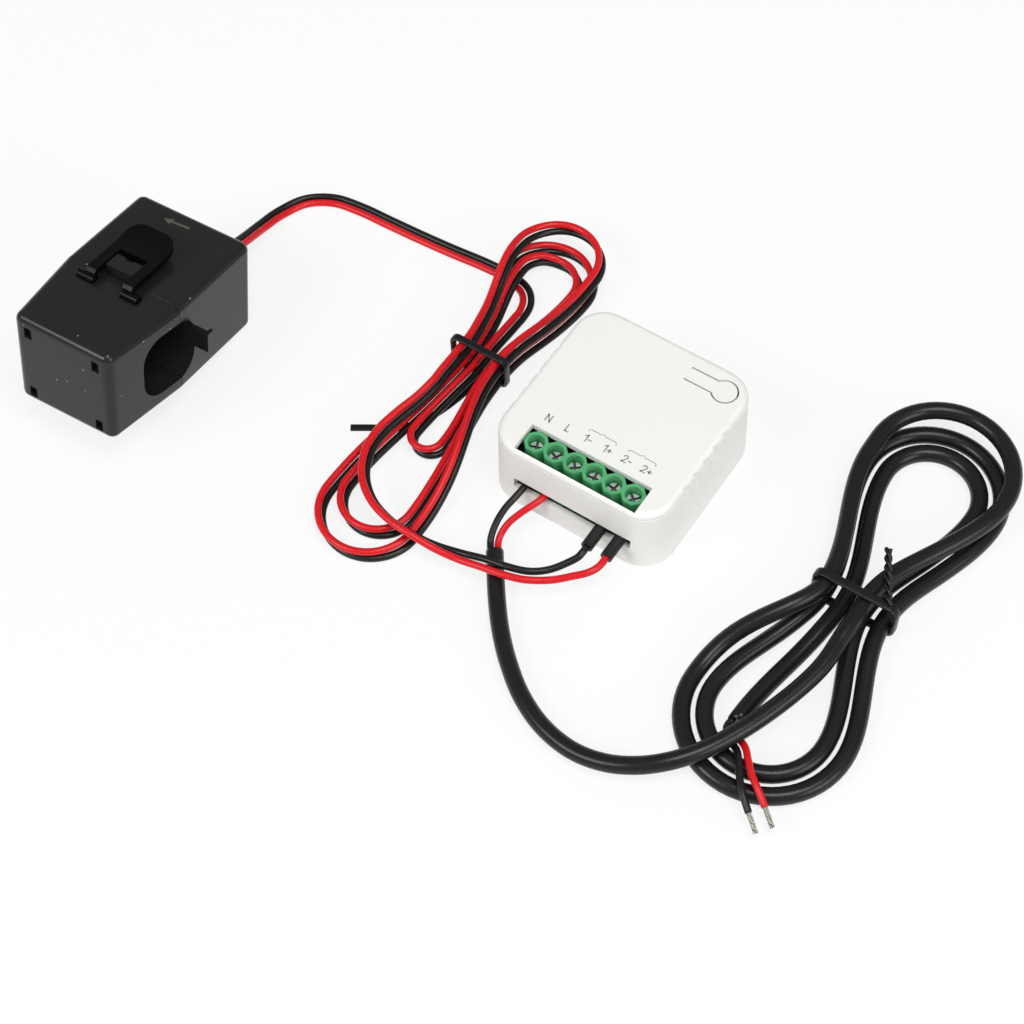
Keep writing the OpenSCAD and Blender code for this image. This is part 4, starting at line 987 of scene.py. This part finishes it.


# %% [markdown]
# ### Terminal screws
# The real screws are plated, with a crossed slot, and each is turned its own way. They could be modelled one
# by one, but one tree makes them all from the same sizes: a drum, a bevelled rim and a shank made one solid,
# less two crossed bars. Only the turn differs. The faces inside the cross get a darker, painted shade.

# %% The screw's node tree
HEAD_H = 2.0
screw_tree = Tree("crossed_screw", {
    "Head Diameter": 3.4 * MM, "Head Height": HEAD_H * MM, "Edge": 0.25 * MM, "Shank Diameter": 2.0 * MM,
    "Shank Length": 5.0 * MM, "Slot Width": 0.6 * MM, "Slot Depth": 0.8 * MM, "Slots": 2, "Turn": 0.0,
})
inputs = screw_tree.source.outputs
radius = screw_tree.math("MULTIPLY", inputs["Head Diameter"], 0.5)
low_height = screw_tree.math("SUBTRACT", inputs["Head Height"], inputs["Edge"])
drum = screw_tree.add("GeometryNodeMeshCylinder", Vertices=56, Radius=radius, Depth=low_height)
low_middle = screw_tree.math("MULTIPLY", low_height, 0.5)
drum_place = screw_tree.vector(0.0, 0.0, low_middle)
drum_at = screw_tree.add("GeometryNodeTransform", Geometry=drum.outputs["Mesh"], Translation=drum_place)
top_radius = screw_tree.math("SUBTRACT", radius, inputs["Edge"])
rim = screw_tree.add(
    "GeometryNodeMeshCone", Vertices=56, Radius_Top=top_radius, Radius_Bottom=radius, Depth=inputs["Edge"],
)
rim_place = screw_tree.vector(0.0, 0.0, low_height)
rim_at = screw_tree.add("GeometryNodeTransform", Geometry=rim.outputs["Mesh"], Translation=rim_place)
shank_radius = screw_tree.math("MULTIPLY", inputs["Shank Diameter"], 0.5)
shank_length = inputs["Shank Length"]
shank = screw_tree.add("GeometryNodeMeshCylinder", Vertices=40, Radius=shank_radius, Depth=shank_length)
shank_place = screw_tree.vector(0.0, 0.0, screw_tree.math("MULTIPLY", shank_length, -0.49))
shank_at = screw_tree.add("GeometryNodeTransform", Geometry=shank.outputs["Mesh"], Translation=shank_place)
solid = screw_tree.add("GeometryNodeMeshBoolean")
solid.operation = "UNION"
solid.solver = "EXACT"
for part in (drum_at, rim_at, shank_at):
    screw_tree.group.links.new(part.outputs[0], solid.inputs["Mesh 2"])
slot_reach = screw_tree.math("MULTIPLY", inputs["Slot Depth"], 2.0)
slot_size = screw_tree.vector(inputs["Head Diameter"], inputs["Slot Width"], slot_reach)
slot = screw_tree.add("GeometryNodeMeshCube", Size=slot_size)
slot_place = screw_tree.vector(0.0, 0.0, inputs["Head Height"])
slot_points = screw_tree.add("GeometryNodePoints", Count=inputs["Slots"], Position=slot_place)
index = screw_tree.group.nodes.new("GeometryNodeInputIndex").outputs[0]
quarter = screw_tree.math("MULTIPLY", index, math.pi / 2)
slot_turn = screw_tree.vector(0.0, 0.0, screw_tree.math("ADD", quarter, inputs["Turn"]))
slots = screw_tree.add(
    "GeometryNodeInstanceOnPoints", Points=slot_points.outputs[0], Instance=slot.outputs["Mesh"],
    Rotation=slot_turn,
)
cutters = screw_tree.add("GeometryNodeRealizeInstances", Geometry=slots.outputs[0])
slotted = screw_tree.add("GeometryNodeMeshBoolean", Mesh_1=solid.outputs[0])
slotted.operation = "DIFFERENCE"
slotted.solver = "EXACT"
slotted.inputs["Self Intersection"].default_value = True
screw_tree.group.links.new(cutters.outputs[0], slotted.inputs["Mesh 2"])
screw_tree.end(slotted.outputs[0], screw_plate)
print("screw tree of", len(screw_tree.group.nodes), "nodes")

# %% Grow the six screws
SCREW_Y = -16.9
HEAD_Z = 14.93
SHANK_END = 9.5
SCREW_TURNS = (20, 64, 38, 8, 81, 50)
SHADE_R = 1.45
SHADE_DEPTH = (0.06, 0.85)
for i, turn_angle in enumerate(SCREW_TURNS):
    node = f"terminal_screw_{i + 1}"
    values = {"Turn": math.radians(turn_angle), "Shank Length": (HEAD_Z - SHANK_END) * MM}
    grown = screw_tree.grow(node + "_grown", values)
    grown.transform(Matrix.Translation(Vector((terminal_axis(i), SCREW_Y, HEAD_Z)) * MM))
    screw = soften(node + "_skin", grown)
    stand_for(screw, node, screw_plate)
    # Painted shade: the faces inside the cross get the darker finish, for the shadow in the recess
    screw.data.materials.append(painted_slot_shade)
    for polygon in screw.data.polygons:
        x, y, z = polygon.center / MM - Vector((terminal_axis(i), SCREW_Y, HEAD_Z + HEAD_H))
        in_cross = math.hypot(x, y) < SHADE_R and SHADE_DEPTH[0] < -z < SHADE_DEPTH[1]
        polygon.material_index = int(in_cross)
print("screws:", len(SCREW_TURNS), "with", len(grown.polygons), "faces each")

# %% [markdown]
# ### Bare wire ends
# A stripped core ends in fine tinned wires. A smooth rod would be simpler, but strands catch the light as
# fine lines. Each outer wire is the same spiral, turned on a step from the last and shortened a little by a
# seeded draw, and one straight wire runs up the middle.

# %% The wire end's node tree
TIP_LEN = 4.5
SHORTEST = 0.93
TIP_SHARP = 50
tip_tree = Tree("stranded_end", {
    "Strands": 6, "Strand Radius": 0.19 * MM, "Lay Radius": 0.39 * MM, "Length": TIP_LEN * MM,
    "Turns": 0.9, "Seed": 4,
})
inputs = tip_tree.source.outputs
lay = tip_tree.add(
    "GeometryNodeCurveSpiral", Resolution=40, Rotations=inputs["Turns"], Start_Radius=inputs["Lay Radius"],
    End_Radius=inputs["Lay Radius"], Height=inputs["Length"],
)
strand_points = tip_tree.add("GeometryNodePoints", Count=inputs["Strands"])
index = tip_tree.group.nodes.new("GeometryNodeInputIndex").outputs[0]
share_turn = tip_tree.math("DIVIDE", index, inputs["Strands"])
strand_turn = tip_tree.vector(0.0, 0.0, tip_tree.math("MULTIPLY", share_turn, 2 * math.pi))
uneven = tip_tree.group.nodes.new("FunctionNodeRandomValue")
uneven.data_type = "FLOAT"
uneven.inputs[2].default_value = SHORTEST
uneven.inputs[3].default_value = 1.0
tip_tree.group.links.new(inputs["Seed"], uneven.inputs["Seed"])
strand_scale = tip_tree.vector(1.0, 1.0, uneven.outputs[1])
around = tip_tree.add(
    "GeometryNodeInstanceOnPoints", Points=strand_points.outputs[0], Instance=lay.outputs[0],
    Rotation=strand_turn, Scale=strand_scale,
)
line_end = tip_tree.vector(0.0, 0.0, tip_tree.math("MULTIPLY", inputs["Length"], 0.97))
middle = tip_tree.add("GeometryNodeCurvePrimitiveLine", End=line_end)
all_lines = tip_tree.group.nodes.new("GeometryNodeJoinGeometry")
around_real = tip_tree.add("GeometryNodeRealizeInstances", Geometry=around.outputs[0])
tip_tree.group.links.new(around_real.outputs[0], all_lines.inputs[0])
tip_tree.group.links.new(middle.outputs[0], all_lines.inputs[0])
wire = tip_tree.add("GeometryNodeCurvePrimitiveCircle", Resolution=10, Radius=inputs["Strand Radius"])
wires = tip_tree.add(
    "GeometryNodeCurveToMesh", Curve=all_lines.outputs[0], Profile_Curve=wire.outputs[0], Fill_Caps=True,
)
tip_tree.end(wires.outputs[0], tinned_wire)
print("wire tree of", len(tip_tree.group.nodes), "nodes")

# %% Grow the two wire ends
for colour, line, seed in (("black", black_tail_line, 4), ("red", red_tail_line, 9)):
    node = f"power_{colour}_tip"
    grown = tip_tree.grow(node + "_grown", {"Seed": seed})
    ahead = Vector(line[-1] - line[-2])
    aim = Vector((0, 0, 1)).rotation_difference(ahead).to_matrix().to_4x4()
    grown.transform(Matrix.Translation(Vector(line[-1]) * MM) @ aim)
    stand_for(soften(node + "_skin", grown, TIP_SHARP), node, tinned_wire)
print("wire ends with", len(grown.polygons), "faces each")

# %% [markdown]
# ## Print and other small surface work
# The terminals carry short marks, with a thin bracket over each sensor pair. Text objects would do, but six
# short marks need no font: each letter is a few strokes of a flat pen, and each stroke is a thin stripe that
# lies a hair's breadth above the plastic, as ink does.

# %% A stripe of ink
MODULE_TOP = 20.0
INK = 0.006


def stripe(points, wide, place):
    """A thin printed line through flat points; place puts a point of the print onto the surface."""
    points = np.array(points, float)
    ahead = headings(points)
    mesh = bmesh.new()
    rows = []
    for p, h in zip(points, ahead):
        off = np.array([-h[1], h[0]]) * wide / 2
        rows.append([mesh.verts.new(Vector(place(*q)) * MM) for q in (p + off, p - off)])
    for a, b in zip(rows, rows[1:]):
        mesh.faces.new((a[0], a[1], b[1], b[0]))
    return settle("stripe", mesh)


def on_module(x, y):
    return x, y, MODULE_TOP + INK


# %% Letters as strokes
MARK_H = 1.75
MARK_STROKE = 0.33
MARK_GAP = 0.28
GLYPHS = {
    "N": (0.62, [[(0, 0), (0, 1)], [(0, 1), (0.62, 0)], [(0.62, 0), (0.62, 1)]]),
    "L": (0.48, [[(0, 1), (0, 0)], [(0, 0), (0.48, 0)]]),
    "1": (0.3, [[(0, 0.8), (0.3, 1)], [(0.3, 1), (0.3, 0)]]),
    "2": (0.54, [
        [
            (0, 0.78), (0.07, 0.91), (0.18, 0.98), (0.32, 0.99), (0.45, 0.92),
            (0.51, 0.8), (0.5, 0.66), (0.42, 0.52), (0, 0),
        ],
        [(0, 0), (0.54, 0)],
    ]),
    "-": (0.36, [[(0, 0.4), (0.36, 0.4)]]),
    "+": (0.48, [[(0, 0.4), (0.48, 0.4)], [(0.24, 0.16), (0.24, 0.64)]]),
}


def mark(text, x, y):
    """Letters drawn with a flat pen: each stroke is a stripe that runs on by half its width."""
    wide = sum(GLYPHS[c][0] for c in text) + MARK_GAP * (len(text) - 1)
    x -= wide * MARK_H / 2
    out = []
    for c in text:
        for stroke in GLYPHS[c][1]:
            points = np.array(stroke, float) * MARK_H + np.array([x, y])
            ahead = headings(points)
            points[0] -= ahead[0] * MARK_STROKE / 2
            points[-1] += ahead[-1] * MARK_STROKE / 2
            out.append(stripe(points, MARK_STROKE, on_module))
        x += (GLYPHS[c][0] + MARK_GAP) * MARK_H
    return out


# %% Print the marks
MARKS = ((-12.65, "N"), (-7.6, "L"), (-2.5, "1-"), (2.6, "1+"), (7.6, "2-"), (12.6, "2+"))
MARK_Y = -11.55
BRACKET_Y = -8.2
BRACKETS = ((-3.5, 3.5), (6.6, 13.6))
BRACKET_STROKE = 0.2
prints = []
for x, text in MARKS:
    prints += mark(text, x, MARK_Y)
for x_low, x_high in BRACKETS:
    x_mid = (x_low + x_high) / 2
    shape = [
        (x_low, BRACKET_Y - 0.7), (x_low + 0.12, BRACKET_Y - 0.2), (x_low + 0.4, BRACKET_Y),
        (x_mid - 0.4, BRACKET_Y), (x_mid, BRACKET_Y + 0.45), (x_mid + 0.4, BRACKET_Y),
        (x_high - 0.4, BRACKET_Y), (x_high - 0.12, BRACKET_Y - 0.2), (x_high, BRACKET_Y - 0.7),
    ]
    prints.append(stripe(shape, BRACKET_STROKE, on_module))
terminal_marks = merge("terminal_marks", prints)
paint(terminal_marks, grey_ink)
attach(terminal_marks, ROOT)
print("marks with", len(terminal_marks.data.polygons), "faces")

# %% [markdown]
# ### The wire slot
# A dark gap with bits of the green board shows in the wire slot. A thin dark strip of painted shade on the
# slot's floor, with a few short green ones on it, stands for that gap, because the solid's wall fills what
# the view reaches.

# %% The strip in the wire slot
GAP_Z = 6.12
GAP_Y = -20.8
GAP_X = (-14.55, 15.75)
GAP_W = 0.76
BITS_Z = 6.15
BITS_Y = -20.84
BITS_X = ((-9.8, -8.3), (-5.2, -2.4), (-1.4, 0.3), (2.0, 3.4))
BITS_W = 0.4


def on_slot_floor(x, y):
    return x, y, GAP_Z


def on_gap(x, y):
    return x, y, BITS_Z


# Painted shade: a dark strip where the slot's gap lies in shadow; the green bits on it are the board's own
# colour
slot_painted_shade = stripe([(x, GAP_Y) for x in GAP_X], GAP_W, on_slot_floor)
slot_painted_shade.name = "slot_painted_shade"
paint(slot_painted_shade, dark_part)
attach(slot_painted_shade, ROOT)
bits = [stripe([(x, BITS_Y) for x in ends], BITS_W, on_gap) for ends in BITS_X]
board_bits = merge("board_bits", bits)
paint(board_bits, board_lacquer)
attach(board_bits, ROOT)
print("slot strip with", len(BITS_X), "bits of board")

# %% [markdown]
# ### Arrow and web
# The clamp has an arrow for the way the current flows, printed like the marks. On the real module the cover
# and the button are one piece, so a small web closes the groove at the button's root.

# %% The clamp's arrow
ARROW_TAIL = (1.5, 23.05)
ARROW_NECK = (-3.2, 22.7)
ARROW_TIP = (-5.4, 22.5)
ARROW_STROKE = 0.7
HEAD_HALF = 1.05


def on_clamp(x, y):
    return clamp_point(x, y, CASE_H + INK)


arrow_line = stripe([ARROW_TAIL, ARROW_NECK], ARROW_STROKE, on_clamp)
head_mesh = bpy.data.meshes.new("arrow_head")
head_corners = [(ARROW_NECK[0], ARROW_NECK[1] + side * HEAD_HALF) for side in (1, -1)] + [ARROW_TIP]
head_mesh.from_pydata([Vector(on_clamp(*c)) * MM for c in head_corners], [], [(0, 2, 1)])
clamp_arrow = merge("clamp_arrow", [arrow_line, link("arrow_head", head_mesh)])
paint(clamp_arrow, arrow_ink)
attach(clamp_arrow, ROOT)
print("arrow with", len(clamp_arrow.data.polygons), "faces")

# %% The web at the button's root
ROOT_X = 7.1
BUTTON_Y = 16.1
TONGUE_W = 3.2
HINGE_Z = 19.2
WEB_R = 0.812
WEB_DROP = 0.002
WEB_STEPS = 6
web_top = MODULE_TOP - WEB_DROP
low_turn = math.pi - math.asin((web_top - HINGE_Z) / WEB_R)
high_turn = math.radians(119.5)
web_shape = [(ROOT_X + WEB_R * math.cos(high_turn), web_top)]
for i in range(WEB_STEPS + 1):
    a = mix(low_turn, high_turn, i / WEB_STEPS)
    web_shape.append((ROOT_X + WEB_R * math.cos(a), HINGE_Z + WEB_R * math.sin(a)))
button_web = prism("button_root_web", web_shape, (BUTTON_Y - TONGUE_W / 2, BUTTON_Y + TONGUE_W / 2))
paint(button_web, white_plastic)
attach(button_web, ROOT)
print("web with", len(button_web.data.polygons), "faces")

# %% [markdown]
# ## The end
# A lead keeps its length however it lies. The leads and the pieces on them are all made above.


print("scene built")
